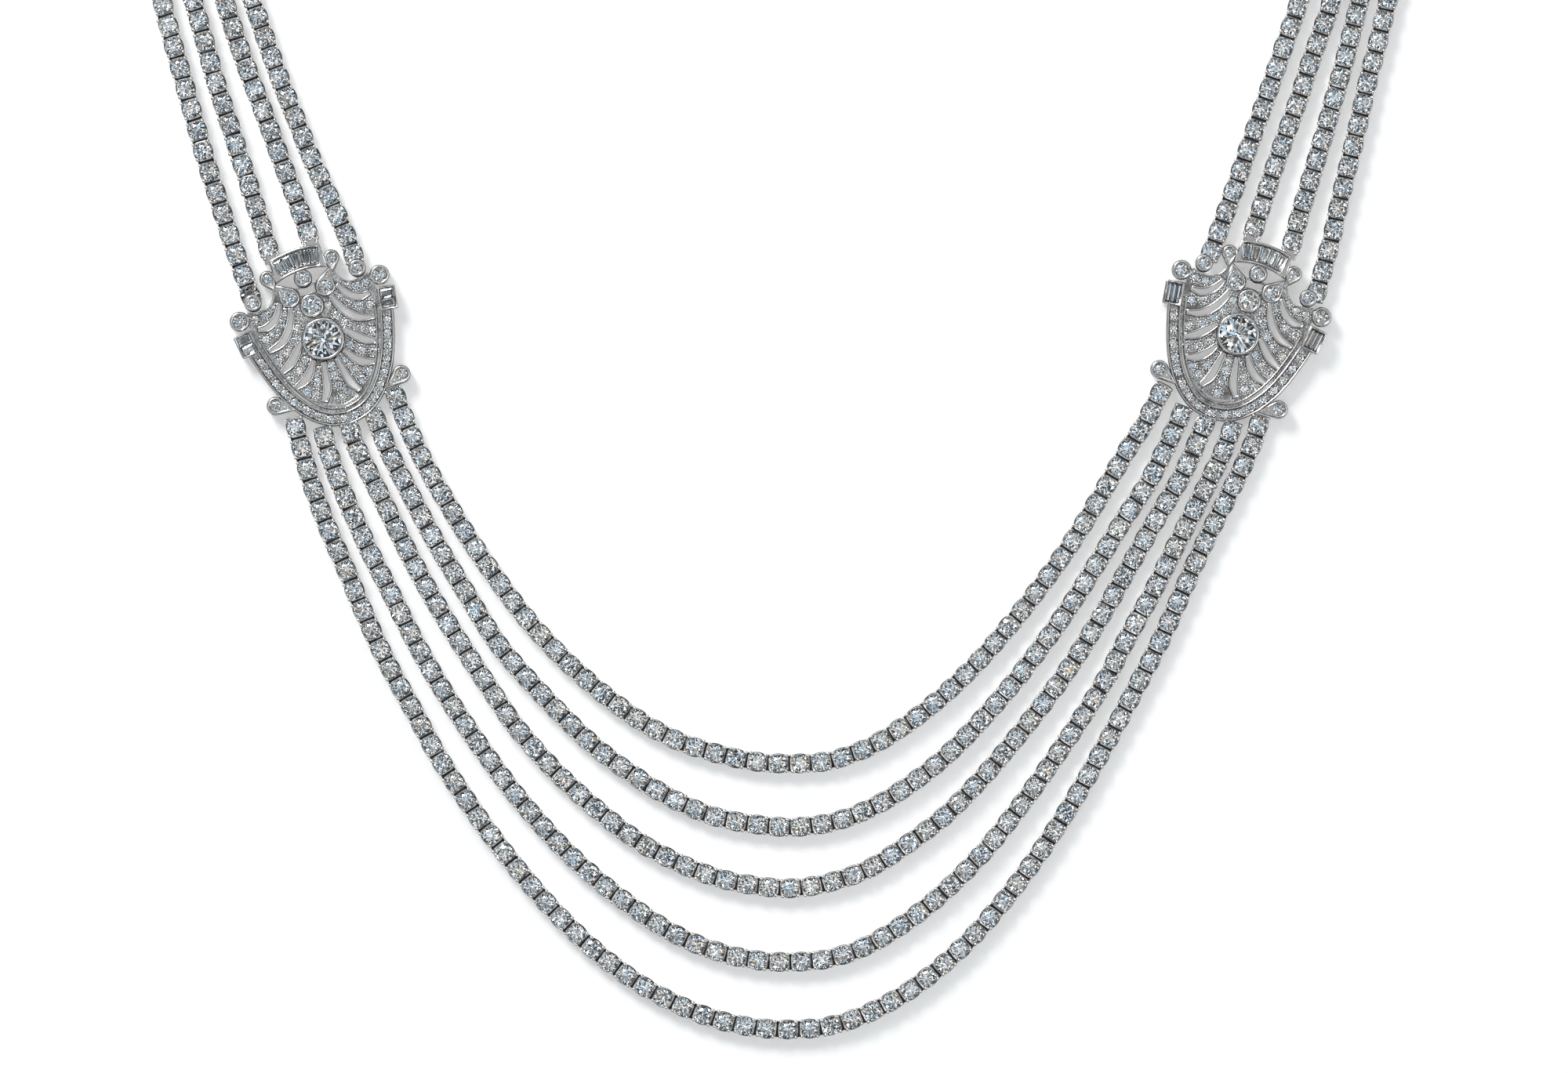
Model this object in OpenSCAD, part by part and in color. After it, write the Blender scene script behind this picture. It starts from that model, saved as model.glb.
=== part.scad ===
// Diamond necklace laid out flat, in millimetres.
// Five front rows hang between two pierced shield plaques, and four rows run from each plaque
// to a plain bar clasp. +Y points to the clasp, +Z up from the surface that it lies on, and
// the origin is on that surface, in the middle of the necklace.
// A plaque is drawn upright with its outer side at -X, then turned and set in its place.

/* [Rows] */
// Width of a row of links
row_w = 2.5; // [2.2:0.05:2.6]
// Height of a row of links above the surface
row_h = 2.0; // [1.6:0.1:2.0]

/* [Plaques] */
// Lean of the left plaque's top to the outside, in degrees
left_lean = 18.6; // [18.2:0.1:19]
// Lean of the right plaque's top to the outside, in degrees
right_lean = 18.7; // [18.2:0.1:19]
// Thickness of the pierced fan plate
plate_t = 1.2; // [0.8:0.1:1.6]
// Height of the fan plate's upper face
plate_top = 1.8; // [1.6:0.1:1.9]
// Height of the polished edges above the plate
edge_h = 0.25; // [0.1:0.05:0.4]
// Width of the polished edges
edge_w = 0.2; // [0.15:0.01:0.24]
// Width of the stone-set border, with its edges
border_w = 1.65; // [1.55:0.05:1.8]

/* [Stones] */
// Radius of the centre stone
centre_r = 2.35; // [2:0.05:2.4]
// Radius of the stone above the centre stone
upper_r = 1.15; // [1:0.05:1.2]
// Radius of the small stones of the fan and the border
pave_r = 0.53; // [0.4:0.01:0.54]
// Clearance between a stone and its seat
seat_gap = 0.05; // [0.03:0.01:0.08]

/* [Clasp] */
// Length of the clasp along the necklace
clasp_l = 9.5; // [8:0.1:9.6]
// Thickness of the clasp
clasp_t = 2.4; // [2:0.1:3]

/* [Hidden] */
PLAQUE_PIECES = [
    "plaque_frame", "centre_stone", "upper_stone", "top_stone",
    "outer_pear_stone", "inner_pear_stone", "outer_arch_collet_stone", "inner_arch_collet_stone",
    "outer_shoulder_stone", "inner_shoulder_stone", "outer_row_collet_stone",
    "inner_row_collet_stone", "outer_drop_stone", "inner_drop_stone", "arch_baguettes",
    "outer_box_baguettes", "inner_box_baguettes", "border_stones",
    "outer_fan_stones", "middle_fan_stones", "inner_fan_stones"
];
$fn = 48;

// Colours of the polished white metal and of the stones.
metal = [0.80, 0.81, 0.83];
stone = [0.78, 0.86, 0.95];

// Centre of each plaque's centre stone, and how many stones its border holds.
left_place = [-57.5, -4.7];
right_place = [59.0, -4.1];
left_border_count = 18;
right_border_count = 17;

// Routes of the rows' centre lines, each from the left or the plaque's end to its other end.
FRONT_ROUTES = [
    [[-48.5, -11.4], [-45.4, -18.9], [-42.1, -24.9], [-38.4, -30.9], [-32.8, -38.8],
     [-27.8, -44.5], [-22.8, -49.1], [-17.8, -52.9], [-12.8, -55.7], [-7.8, -57.4],
     [-2.8, -58.5], [2.2, -58.8], [7.2, -58.4], [12.2, -56.6], [17.2, -53.5], [22.2, -49.5],
     [27.2, -44.4], [32.2, -38.4], [37.2, -31.6], [41.4, -24.9], [44.9, -18.9],
     [47.1, -15.5], [49.5, -10.9]],
    [[-51.1, -14.2], [-49.2, -18.9], [-46.2, -24.9], [-43.0, -30.9], [-39.4, -36.9],
     [-35.7, -42.9], [-32.8, -46.5], [-27.8, -51.9], [-22.8, -56.7], [-17.8, -60.4],
     [-12.8, -63.4], [-7.8, -65.5], [-2.8, -66.5], [2.2, -66.9], [7.2, -66.3], [12.2, -64.5],
     [17.2, -61.5], [22.2, -57.5], [27.2, -52.3], [32.2, -46.3], [37.2, -39.4],
     [40.7, -33.9], [44.4, -27.9], [48.2, -21.9], [52.1, -13.7]],
    [[-54.2, -15.8], [-53.1, -18.9], [-50.1, -24.9], [-47.2, -30.9], [-44.0, -36.9],
     [-40.4, -42.9], [-36.5, -48.9], [-32.8, -54.3], [-27.8, -59.9], [-22.8, -64.5],
     [-17.8, -68.4], [-12.8, -71.2], [-7.8, -73.2], [-2.8, -74.3], [2.2, -74.7], [7.2, -73.9],
     [12.2, -72.1], [17.2, -68.9], [22.2, -65.0], [27.2, -59.8], [32.2, -53.8],
     [37.2, -47.1], [41.7, -39.9], [45.1, -33.9], [48.5, -27.9], [52.0, -21.9],
     [55.1, -14.9]],
    [[-57.6, -16.4], [-55.9, -21.9], [-52.0, -30.9], [-49.0, -36.9], [-46.0, -42.9],
     [-42.6, -48.9], [-38.7, -54.9], [-35.3, -59.7], [-32.8, -63.0], [-27.8, -68.7],
     [-22.8, -73.4], [-17.8, -77.3], [-12.8, -80.5], [-7.8, -82.6], [-2.8, -83.8],
     [2.2, -84.1], [7.2, -83.6], [12.2, -81.8], [17.2, -78.7], [22.2, -74.6], [27.2, -69.4],
     [32.2, -63.0], [37.2, -55.9], [41.7, -48.9], [44.9, -42.9], [48.2, -36.9],
     [51.2, -30.9], [54.3, -24.9], [57.2, -18.9], [58.4, -15.7]],
    [[-61.2, -15.2], [-59.4, -21.9], [-57.3, -27.9], [-54.7, -33.9], [-52.2, -39.9],
     [-49.4, -45.9], [-46.1, -51.9], [-42.8, -58.0], [-37.8, -65.6], [-32.8, -72.2],
     [-27.8, -77.9], [-22.8, -82.7], [-17.8, -86.5], [-12.8, -89.3], [-7.8, -91.3],
     [-2.8, -92.4], [2.2, -92.7], [7.2, -92.2], [12.2, -90.5], [17.2, -87.7], [22.2, -83.8],
     [27.2, -78.7], [32.2, -72.4], [37.2, -65.0], [42.2, -56.4], [46.2, -48.9],
     [49.3, -42.9], [52.0, -36.9], [54.7, -30.9], [57.7, -24.9], [60.6, -18.9],
     [61.9, -14.9]]
];
LEFT_ROUTES = [
    [[-66.4, -0.3], [-69.3, 8.1], [-70.9, 13.1], [-72.5, 18.1], [-73.9, 23.1], [-75.3, 28.1],
     [-76.7, 33.1], [-78.0, 38.1], [-79.4, 44.0], [-80.3, 50.0], [-79.5, 55.9], [-77.2, 61.8],
     [-73.4, 67.4], [-68.1, 72.6], [-61.5, 77.4], [-53.7, 81.7], [-44.9, 85.4], [-35.2, 88.4],
     [-24.8, 90.6], [-13.9, 92.1], [-4.9, 92.6]],
    [[-64.2, 5.8], [-66.4, 13.1], [-68.0, 18.1], [-69.6, 23.1], [-71.2, 28.1], [-72.6, 33.1],
     [-74.0, 38.1], [-75.7, 43.8], [-76.6, 49.5], [-75.7, 55.8], [-72.9, 61.9], [-68.3, 67.7],
     [-62.0, 73.0], [-54.2, 77.8], [-45.0, 81.9], [-34.8, 85.1], [-23.7, 87.5],
     [-12.0, 89.0], [-4.9, 89.5]],
    [[-59.1, 7.7], [-61.0, 13.1], [-62.9, 18.1], [-64.7, 23.1], [-66.6, 28.1], [-68.4, 33.1],
     [-70.0, 38.1], [-71.8, 43.6], [-72.7, 49.0], [-71.6, 55.5], [-68.3, 61.8], [-63.0, 67.7],
     [-55.7, 73.0], [-46.7, 77.6], [-36.4, 81.3], [-24.9, 84.1], [-12.6, 85.8], [-4.9, 86.3]],
    [[-53.3, 4.9], [-54.4, 8.1], [-56.6, 13.1], [-58.9, 18.1], [-60.9, 23.1], [-62.9, 28.1],
     [-64.7, 33.1], [-66.4, 38.1], [-68.0, 43.0], [-68.9, 48.0], [-67.9, 54.1], [-64.7, 60.0],
     [-59.7, 65.6], [-52.8, 70.6], [-44.3, 74.9], [-34.5, 78.4], [-23.6, 81.0],
     [-12.0, 82.6], [-4.9, 83.1]]
];
RIGHT_ROUTES = [
    [[68.8, 0.1], [71.0, 8.1], [72.1, 13.1], [73.3, 18.1], [74.5, 23.1], [75.6, 28.1],
     [76.9, 33.1], [78.1, 38.1], [79.4, 44.0], [80.3, 50.0], [79.5, 55.9], [77.2, 61.8],
     [73.4, 67.4], [68.1, 72.6], [61.5, 77.4], [53.7, 81.7], [44.9, 85.4], [35.2, 88.4],
     [24.8, 90.6], [13.9, 92.1], [4.9, 92.6]],
    [[65.7, 6.5], [66.8, 10.6], [68.3, 15.6], [69.8, 20.6], [71.2, 25.6], [72.6, 30.6],
     [74.5, 38.1], [76.0, 43.8], [76.6, 49.5], [75.7, 55.8], [72.9, 61.9], [68.3, 67.7],
     [62.0, 73.0], [54.2, 77.8], [45.0, 81.9], [34.8, 85.1], [23.7, 87.5], [12.0, 89.0],
     [4.9, 89.5]],
    [[60.8, 8.3], [63.2, 15.6], [64.9, 20.6], [66.7, 25.6], [68.3, 30.6], [70.9, 38.1],
     [72.2, 43.6], [72.7, 49.0], [71.6, 55.5], [68.3, 61.8], [63.0, 67.7], [55.7, 73.0],
     [46.7, 77.6], [36.4, 81.3], [24.9, 84.1], [12.6, 85.8], [4.9, 86.3]],
    [[55.2, 5.3], [57.2, 10.6], [59.0, 15.6], [60.7, 20.6], [62.5, 25.6], [64.2, 30.6],
     [66.8, 38.1], [68.3, 43.0], [68.9, 48.0], [67.9, 54.1], [64.7, 60.0], [59.7, 65.6],
     [52.8, 70.6], [44.3, 74.9], [34.5, 78.4], [23.6, 81.0], [12.0, 82.6], [4.9, 83.1]]
];

// Cross-section of a row: a flat back, rounded flanks and the stones' flat tops.
row_section = [
    [-0.36 * row_w, 0], [0.36 * row_w, 0], [0.5 * row_w, 0.18 * row_h], [0.5 * row_w, 0.75 * row_h],
    [0.38 * row_w, row_h], [-0.38 * row_w, row_h], [-0.5 * row_w, 0.75 * row_h],
    [-0.5 * row_w, 0.18 * row_h]
];

// Height of the clasp's footprint: the four rows' span and a small margin.
clasp_low = 81.4;
clasp_high = 93.9;
clasp_round = 1.5;

// Half of the border's centre line, from under the end box to the bottom of the shield.
border_half = [
    [8.95, 1.9], [8.62, 0.2], [7.45, -3.5], [6.1, -6.3], [4.3, -8.6], [2.3, -10.0], [0, -10.5]
];
border_steps = 5;
// Distance of the first and last border stones from the ends of the border.
border_lead = 2.2;

// Half of the fan plate's outline above the border: under the arch, the shoulder's hollow
// curve, and the outer corner.
neck_edge = [[0, 7.3], [1.3, 7.3], [2.8, 7.6], [3.7, 8.6]];
shoulder_edge = [[4.15, 8.1], [4.35, 7.2], [5.0, 6.4], [6.0, 5.95], [7.1, 6.0], [8.1, 6.3]];
corner_edge = [[8.5, 5.4], [8.4, 4.0]];

// Pierced slots between the ribs, top to bottom, each a centre line with its widths.
SLOTS = [
    [[[3.95, 5.9], [4.5, 4.9], [5.3, 4.1], [6.3, 3.65], [7.3, 3.75]], [0.3, 0.6, 0.7, 0.65, 0.3]],
    [[[2.75, 4.9], [3.1, 3.8], [3.9, 2.4], [5.2, 1.2], [6.9, 0.7]], [0.3, 0.6, 0.75, 0.7, 0.3]],
    [[[3.0, 0.35], [3.8, -0.55], [4.9, -1.6], [6.2, -2.3]], [0.4, 0.7, 0.8, 0.4]],
    [[[2.15, -2.25], [2.9, -3.4], [3.9, -4.3], [5.2, -4.75]], [0.35, 0.7, 0.8, 0.35]],
    [[[0.95, -2.95], [1.2, -4.6], [1.55, -6.2], [2.3, -7.5]], [0.35, 0.65, 0.8, 0.4]]
];
slot_steps = 4;
// Thin slit between the fan and the border, and the width of it.
slit_line = [[6.15, -3.9], [5.4, -5.5], [4.2, -7.1], [2.6, -8.4]];
slit_w = [0.15, 0.32, 0.32, 0.15];
// Window over the upper stone: half width, lower and upper edge.
window = [1.05, 6.1, 7.0];

// Stone lines of the ribs, top to bottom: centre line and number of stones.
RIBS = [
    [[[4.95, 5.8], [5.9, 5.2], [7.4, 5.15]], 3],
    [[[3.5, 4.95], [4.3, 3.85], [5.4, 2.9], [7.0, 2.3]], 4],
    [[[1.95, 3.95], [2.5, 2.6], [3.4, 1.15], [4.7, -0.1], [6.3, -0.85]], 5],
    [[[3.0, -1.75], [4.1, -2.85], [5.6, -3.55]], 3],
    [[[1.75, -3.45], [2.4, -4.8], [3.1, -6.3]], 3],
    [[[4.15, -5.7]], 1]
];
MIDDLE_STONES = [[0, -3.5], [0, -4.75], [0, -6.15], [0, -7.8]];

// Round collets of the right half: name, centre, stone radius, wall, girdle height, tail.
// A tail is the tip that the collet's metal runs out to, or its own centre where it has none.
collet_wall = 0.3;
// Height of a collet's lip above its stone's girdle.
collet_lip = 0.15;
COLLETS = [
    ["pear", [2.4, 6.3], 0.9, 2.05, [3.75, 8.75]],
    ["arch_collet", [4.3, 9.55], 0.6, 2.05, [3.85, 7.7]],
    ["shoulder", [9.4, 5.5], 0.85, 2.1, [8.0, 5.6]],
    ["row_collet", [7.0, 7.2], 0.7, 3.0, [7.0, 7.2]],
    ["drop", [8.0, -7.4], 0.75, 2.0, [5.5, -8.5]]
];
// The left plaque's outer drop sits higher on the border.
left_drop = ["drop", [8.45, -6.15], 0.75, 2.0, [6.2, -7.4]];
// The row collets stand over the rows' last links, on a post at the fan's shoulder.
over_row = 2.12;
post = [7.0, 6.15];
post_r = 0.5;

// Stones on the plaque's centre line: centre, radius, girdle height.
centre_seat = [[0, 0], centre_r, 2.65];
upper_seat = [[0, 4.5], upper_r, 2.2];
top_seat = [[0, 8.15], 0.75, 2.1];

// Arched channel: centre of its arcs, inner and outer radius, half width, channel and stones.
arch_c = [0, -0.45];
arch_in = 9.6;
arch_out = 12.55;
arch_half = 3.45;
channel_in = 10.0;
channel_out = 12.15;
channel_half_angle = 14.6;
baguette_count = 5;
baguette_angle = 5.9;
baguette_w = 0.96;
baguette_l = 2.0;

// Step-set boxes: centre, size, lean, channel.
box_c = [9.45, 2.4];
box_size = [2.5, 3.1];
box_lean = -8;
box_channel = [1.82, 2.56];
// A box's baguettes on each plaque: size, step from one to the next, count.
left_box = [[1.7, 1.2], [0, 1.26], 2];
right_box = [[0.56, 2.44], [0.6, 0], 3];
channel_top = 2.4;
channel_girdle = 2.15;
channel_floor = 1.3;

// Proportions of a round brilliant, for a radius of 1.
table_share = 0.57;
crown_share = 0.32;
pavilion_share = 0.86;

// Point of the smooth curve through pts, t counted in spans.
function curve_at(pts, t) =
    let (
        last = len(pts) - 1,
        i = min(floor(t), last - 1),
        u = t - i,
        a = pts[max(i - 1, 0)],
        b = pts[i],
        c = pts[i + 1],
        d = pts[min(i + 2, last)]
    )
    b + 0.5 * u * ((c - a) + u * ((2 * a - 5 * b + 4 * c - d) + u * (3 * (b - c) + d - a)));
function smooth(pts, steps) = [for (k = [0 : (len(pts) - 1) * steps]) curve_at(pts, k / steps)];
function heading(pts, i) =
    let (d = pts[min(i + 1, len(pts) - 1)] - pts[max(i - 1, 0)]) d / norm(d);
function beside(pts, i, distance) =
    let (h = heading(pts, i)) pts[i] + distance * [-h[1], h[0]];
function mirrored(pts) = [for (i = [len(pts) - 1 : -1 : 0]) [-pts[i][0], pts[i][1]]];
function marks(pts) = [
    for (i = 0, s = 0; i < len(pts); s = s + norm(pts[min(i + 1, len(pts) - 1)] - pts[i]), i = i + 1) s
];
function at_length(pts, m, s) =
    let (
        i = max([for (k = [0 : len(pts) - 2]) if (m[k] <= s) k]),
        u = (s - m[i]) / (m[i + 1] - m[i])
    )
    pts[i] + u * (pts[i + 1] - pts[i]);
// Even places along a line, lead away from both ends.
function spread(line, count, lead) =
    let (m = marks(line), span = m[len(m) - 1] - 2 * lead)
    [for (i = [0 : count - 1]) at_length(line, m, lead + span * i / (count - 1))];
function rib_stones(rib) = rib[1] == 1 ? rib[0] : spread(smooth(rib[0], slot_steps), rib[1], 0.001);
fan_half = [for (rib = RIBS) each rib_stones(rib)];
border_line = let (half = smooth(border_half, border_steps))
    concat(half, [for (i = [1 : len(half) - 1]) mirrored(half)[i]]);

// Outline of a collet whose metal runs out to a tip.
function teardrop(c, r, tip) =
    let (
        reach = norm(tip - c),
        to_tip = atan2(tip[1] - c[1], tip[0] - c[0]),
        open = acos(r / reach),
        steps = 28
    )
    concat([tip], [
        for (i = [0 : steps]) let (a = to_tip + open + (360 - 2 * open) * i / steps)
            c + r * [cos(a), sin(a)]
    ]);

// Strip of varying width along a smooth centre line, grown by extra all round.
module strip(line, widths, extra = 0) {
    inner = smooth(line, slot_steps);
    last = len(inner) - 1;
    pts = [
        for (i = [0 : last])
            inner[i] + (i == 0 ? -extra : i == last ? extra : 0) * heading(inner, i)
    ];
    w = smooth(widths, slot_steps);
    polygon(concat(
        [for (i = [0 : len(pts) - 1]) beside(pts, i, w[i] / 2 + extra)],
        [for (i = [len(pts) - 1 : -1 : 0]) beside(pts, i, -w[i] / 2 - extra)]
    ));
}

// Strip of even width between two distances beside a line of points.
module rail(pts, from, to) {
    polygon(concat(
        [for (i = [0 : len(pts) - 1]) beside(pts, i, from)],
        [for (i = [len(pts) - 1 : -1 : 0]) beside(pts, i, to)]
    ));
}

// The collets of one half of a plaque, whose outer half may have a drop of its own.
function collets(half, outer_drop) =
    [for (c = COLLETS) half == "outer" && c[0] == outer_drop[0] ? outer_drop : c];

module at_height(low, high) {
    translate([0, 0, low]) linear_extrude(high - low) children();
}

module both_sides() {
    children();
    mirror([1, 0, 0]) children();
}

module on_half(half) {
    mirror([half == "outer" ? 1 : 0, 0, 0]) children();
}

// Round brilliant with a table, crown and pavilion, its girdle at z = 0.
module brilliant(r, n = 8) {
    half = 180 / n;
    table = [for (i = [0 : n - 1]) r * [
        table_share * cos(2 * half * i), table_share * sin(2 * half * i), crown_share]];
    girdle = [for (i = [0 : n - 1]) r * [cos(2 * half * i + half), sin(2 * half * i + half), 0]];
    polyhedron(
        concat(table, girdle, [[0, 0, -pavilion_share * r]]),
        concat(
            [[for (i = [n - 1 : -1 : 0]) i]],
            [for (i = [0 : n - 1]) [i, (i + 1) % n, n + i]],
            [for (i = [0 : n - 1]) [(i + 1) % n, n + (i + 1) % n, n + i]],
            [for (i = [0 : n - 1]) [n + i, n + (i + 1) % n, 2 * n]]
        )
    );
}

// Step-cut baguette, w along X and l along Y, with its keel along the longer side.
module baguette(w, l) {
    bevel = 0.16;
    rise = 0.15;
    deep = 0.6;
    keel = w < l ? [0, (l - w) / 2] : [(w - l) / 2, 0];
    polyhedron(
        [
            [-w / 2 + bevel, -l / 2 + bevel, rise], [w / 2 - bevel, -l / 2 + bevel, rise],
            [w / 2 - bevel, l / 2 - bevel, rise], [-w / 2 + bevel, l / 2 - bevel, rise],
            [-w / 2, -l / 2, 0], [w / 2, -l / 2, 0], [w / 2, l / 2, 0], [-w / 2, l / 2, 0],
            [-keel[0], -keel[1], -deep], [keel[0], keel[1], -deep]
        ],
        concat(
            [[3, 2, 1, 0], [0, 1, 5, 4], [1, 2, 6, 5], [2, 3, 7, 6], [3, 0, 4, 7]],
            w < l
                ? [[4, 5, 8], [5, 6, 9, 8], [6, 7, 9], [7, 4, 8, 9]]
                : [[4, 5, 9, 8], [5, 6, 9], [6, 7, 8, 9], [7, 4, 8]]
        )
    );
}

// A row of links as one bar along its route, a ring of corners at each point of the route.
module row(route) {
    n = len(row_section);
    last = len(route) - 1;
    color(stone) polyhedron(
        [for (i = [0 : last], p = row_section) let (q = beside(route, i, -p[0])) [q[0], q[1], p[1]]],
        concat(
            [[for (k = [0 : n - 1]) k]],
            [for (i = [0 : last - 1], k = [0 : n - 1], half = [0, 1]) let (
                a = i * n + k,
                b = i * n + (k + 1) % n
            ) half == 0 ? [a, a + n, b] : [b, a + n, b + n]],
            [[for (k = [n - 1 : -1 : 0]) last * n + k]]
        )
    );
}

module arch_sector(inner, outer) {
    translate(arch_c) difference() {
        circle(outer, $fn = 96);
        circle(inner, $fn = 96);
    }
}

module arch_channel() {
    reach = 2 * channel_out;
    spread_x = reach * tan(channel_half_angle);
    intersection() {
        arch_sector(channel_in, channel_out);
        translate(arch_c) polygon([[0, 0], [spread_x, reach], [-spread_x, reach]]);
    }
}

module fan_outline() {
    half = concat(
        neck_edge, smooth(shoulder_edge, slot_steps), corner_edge, smooth(border_half, border_steps)
    );
    polygon(concat(half, [for (i = [1 : len(half) - 2]) mirrored(half)[i]]));
}

module seat(place, r, girdle) {
    floor_z = girdle - pavilion_share * r - seat_gap;
    translate([place[0], place[1], floor_z]) cylinder(r = r + seat_gap, h = 6);
}

// Solid metal of the plaque before the slots and the seats are cut.
module plaque_metal(outer_drop) {
    top = plate_top + edge_h;
    inset = border_w / 2 - edge_w;
    at_height(plate_top - plate_t, plate_top) fan_outline();
    at_height(0, plate_top) rail(border_line, -border_w / 2, border_w / 2);
    at_height(plate_top - 0.2, top) {
        rail(border_line, inset, border_w / 2);
        rail(border_line, -border_w / 2, -inset);
    }
    cylinder(r = centre_r + seat_gap + collet_wall, h = centre_seat[2] + collet_lip);
    for (s = [upper_seat, top_seat])
        translate([s[0][0], s[0][1], plate_top - plate_t])
            cylinder(r = s[1] + seat_gap + collet_wall, h = s[2] + collet_lip - plate_top + plate_t);
    at_height(0.3, channel_top) intersection() {
        arch_sector(arch_in, arch_out);
        translate([-arch_half, 5]) square([2 * arch_half, 10]);
    }
    both_sides() {
        for (slot = SLOTS)
            at_height(plate_top - 0.2, top) strip(slot[0], slot[1], edge_w);
        at_height(plate_top - 0.2, top) rail(smooth(shoulder_edge, slot_steps), -edge_w, 0);
        translate([post[0], post[1], plate_top - plate_t])
            cylinder(r = post_r, h = over_row + 0.5 - plate_top + plate_t);
        translate([box_c[0], box_c[1], 0.3]) rotate(box_lean)
            translate([-box_size[0] / 2, -box_size[1] / 2, 0])
                cube([box_size[0], box_size[1], channel_top - 0.3]);
    }
    for (half = ["outer", "inner"], c = collets(half, outer_drop))
        on_half(half) at_height(c[0] == "row_collet" ? over_row : plate_top - plate_t, c[3] + collet_lip)
            if (c[1] == c[4]) translate(c[1]) circle(c[2] + seat_gap + collet_wall);
            else polygon(teardrop(c[1], c[2] + seat_gap + collet_wall, c[4]));
}

module plaque_frame(border_count, outer_drop) {
    color(metal) difference() {
        plaque_metal(outer_drop);
        both_sides() {
            for (slot = SLOTS)
                at_height(-1, 6) strip(slot[0], slot[1]);
            at_height(-1, 6) strip(slit_line, slit_w);
            for (p = fan_half)
                seat(p, pave_r, plate_top - 0.05);
            translate([box_c[0], box_c[1], channel_floor]) rotate(box_lean)
                translate([-box_channel[0] / 2, -box_channel[1] / 2, 0])
                    cube([box_channel[0], box_channel[1], 4]);
        }
        for (half = ["outer", "inner"], c = collets(half, outer_drop))
            on_half(half) seat(c[1], c[2], c[3]);
        at_height(-1, 6) translate([-window[0], window[1]])
            square([2 * window[0], window[2] - window[1]]);
        for (s = [centre_seat, upper_seat, top_seat])
            seat(s[0], s[1], s[2]);
        for (p = concat(MIDDLE_STONES, spread(border_line, border_count, border_lead)))
            seat(p, pave_r, plate_top - 0.05);
        at_height(channel_floor, 6) arch_channel();
    }
}

module set_stone(place, r, girdle, n = 8) {
    color(stone) translate([place[0], place[1], girdle]) brilliant(r, n);
}

module small_stones(places) {
    for (p = places)
        set_stone(p, pave_r, plate_top - 0.05);
}

module arch_baguettes() {
    middle = (channel_in + channel_out) / 2;
    for (i = [0 : baguette_count - 1])
        color(stone) translate([arch_c[0], arch_c[1], channel_girdle])
            rotate((i - (baguette_count - 1) / 2) * baguette_angle)
                translate([0, middle, 0]) baguette(baguette_w, baguette_l);
}

module box_baguettes(box) {
    color(stone) translate([box_c[0], box_c[1], channel_girdle]) rotate(box_lean)
        for (i = [0 : box[2] - 1])
            translate((i - (box[2] - 1) / 2) * box[1]) baguette(box[0][0], box[0][1]);
}

// Draws the piece of one plaque with the given name, outer side at -X.
module plaque_piece(piece, border_count, box, outer_drop) {
    if (piece == "plaque_frame") plaque_frame(border_count, outer_drop);
    if (piece == "centre_stone") set_stone(centre_seat[0], centre_seat[1], centre_seat[2], 16);
    if (piece == "upper_stone") set_stone(upper_seat[0], upper_seat[1], upper_seat[2], 12);
    if (piece == "top_stone") set_stone(top_seat[0], top_seat[1], top_seat[2]);
    if (piece == "arch_baguettes") arch_baguettes();
    if (piece == "border_stones") small_stones(spread(border_line, border_count, border_lead));
    if (piece == "middle_fan_stones") small_stones(MIDDLE_STONES);
    for (half = ["outer", "inner"]) on_half(half) {
        for (c = collets(half, outer_drop))
            if (piece == str(half, "_", c[0], "_stone")) set_stone(c[1], c[2], c[3]);
        if (piece == str(half, "_box_baguettes")) box_baguettes(box);
        if (piece == str(half, "_fan_stones")) small_stones(fan_half);
    }
}

module in_left_plaque() {
    translate([left_place[0], left_place[1], 0]) rotate(left_lean) children();
}

module in_right_plaque() {
    translate([right_place[0], right_place[1], 0]) rotate(-right_lean) mirror([1, 0, 0]) children();
}

module clasp() {
    r = clasp_round;
    color(metal) linear_extrude(clasp_t) translate([-clasp_l / 2, clasp_low]) {
        translate([r, 0]) square([clasp_l - 2 * r, clasp_high - clasp_low]);
        translate([0, r]) square([clasp_l, clasp_high - clasp_low - 2 * r]);
        for (x = [r, clasp_l - r], y = [r, clasp_high - clasp_low - r])
            translate([x, y]) circle(r);
    }
}

for (i = [1:5])
    row(FRONT_ROUTES[i - 1]);
for (i = [1:4])
    row(LEFT_ROUTES[i - 1]);
for (i = [1:4])
    row(RIGHT_ROUTES[i - 1]);
for (piece = PLAQUE_PIECES)
    in_left_plaque() plaque_piece(piece, left_border_count, left_box, left_drop);
for (piece = PLAQUE_PIECES)
    in_right_plaque() plaque_piece(piece, right_border_count, right_box, COLLETS[4]);
clasp();
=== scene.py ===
"""Dresses the diamond necklace: rows of claw-set links, two pierced plaques, their stones and the clasp.

Shapes are drawn in millimetres, a plaque upright with its outer side at -X, and scaled as they are placed.
"""

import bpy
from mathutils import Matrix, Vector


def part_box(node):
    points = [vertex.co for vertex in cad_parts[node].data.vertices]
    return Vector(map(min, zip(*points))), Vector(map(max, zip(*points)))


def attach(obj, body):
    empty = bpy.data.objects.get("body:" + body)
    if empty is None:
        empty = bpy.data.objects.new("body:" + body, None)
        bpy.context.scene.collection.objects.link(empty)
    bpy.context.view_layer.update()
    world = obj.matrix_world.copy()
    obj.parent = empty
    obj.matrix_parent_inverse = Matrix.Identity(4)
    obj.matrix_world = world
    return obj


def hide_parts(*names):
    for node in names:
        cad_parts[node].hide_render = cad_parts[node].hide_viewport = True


bl_info = {
    "name": "Diamond Necklace",
    "version": (1, 0, 0),
    "blender": (4, 5, 0),
    "location": "3D View > Sidebar > Necklace",
    "description": "Makes the links, plaques, stones and clasp of a diamond necklace",
    "category": "Add Mesh",
}

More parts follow.
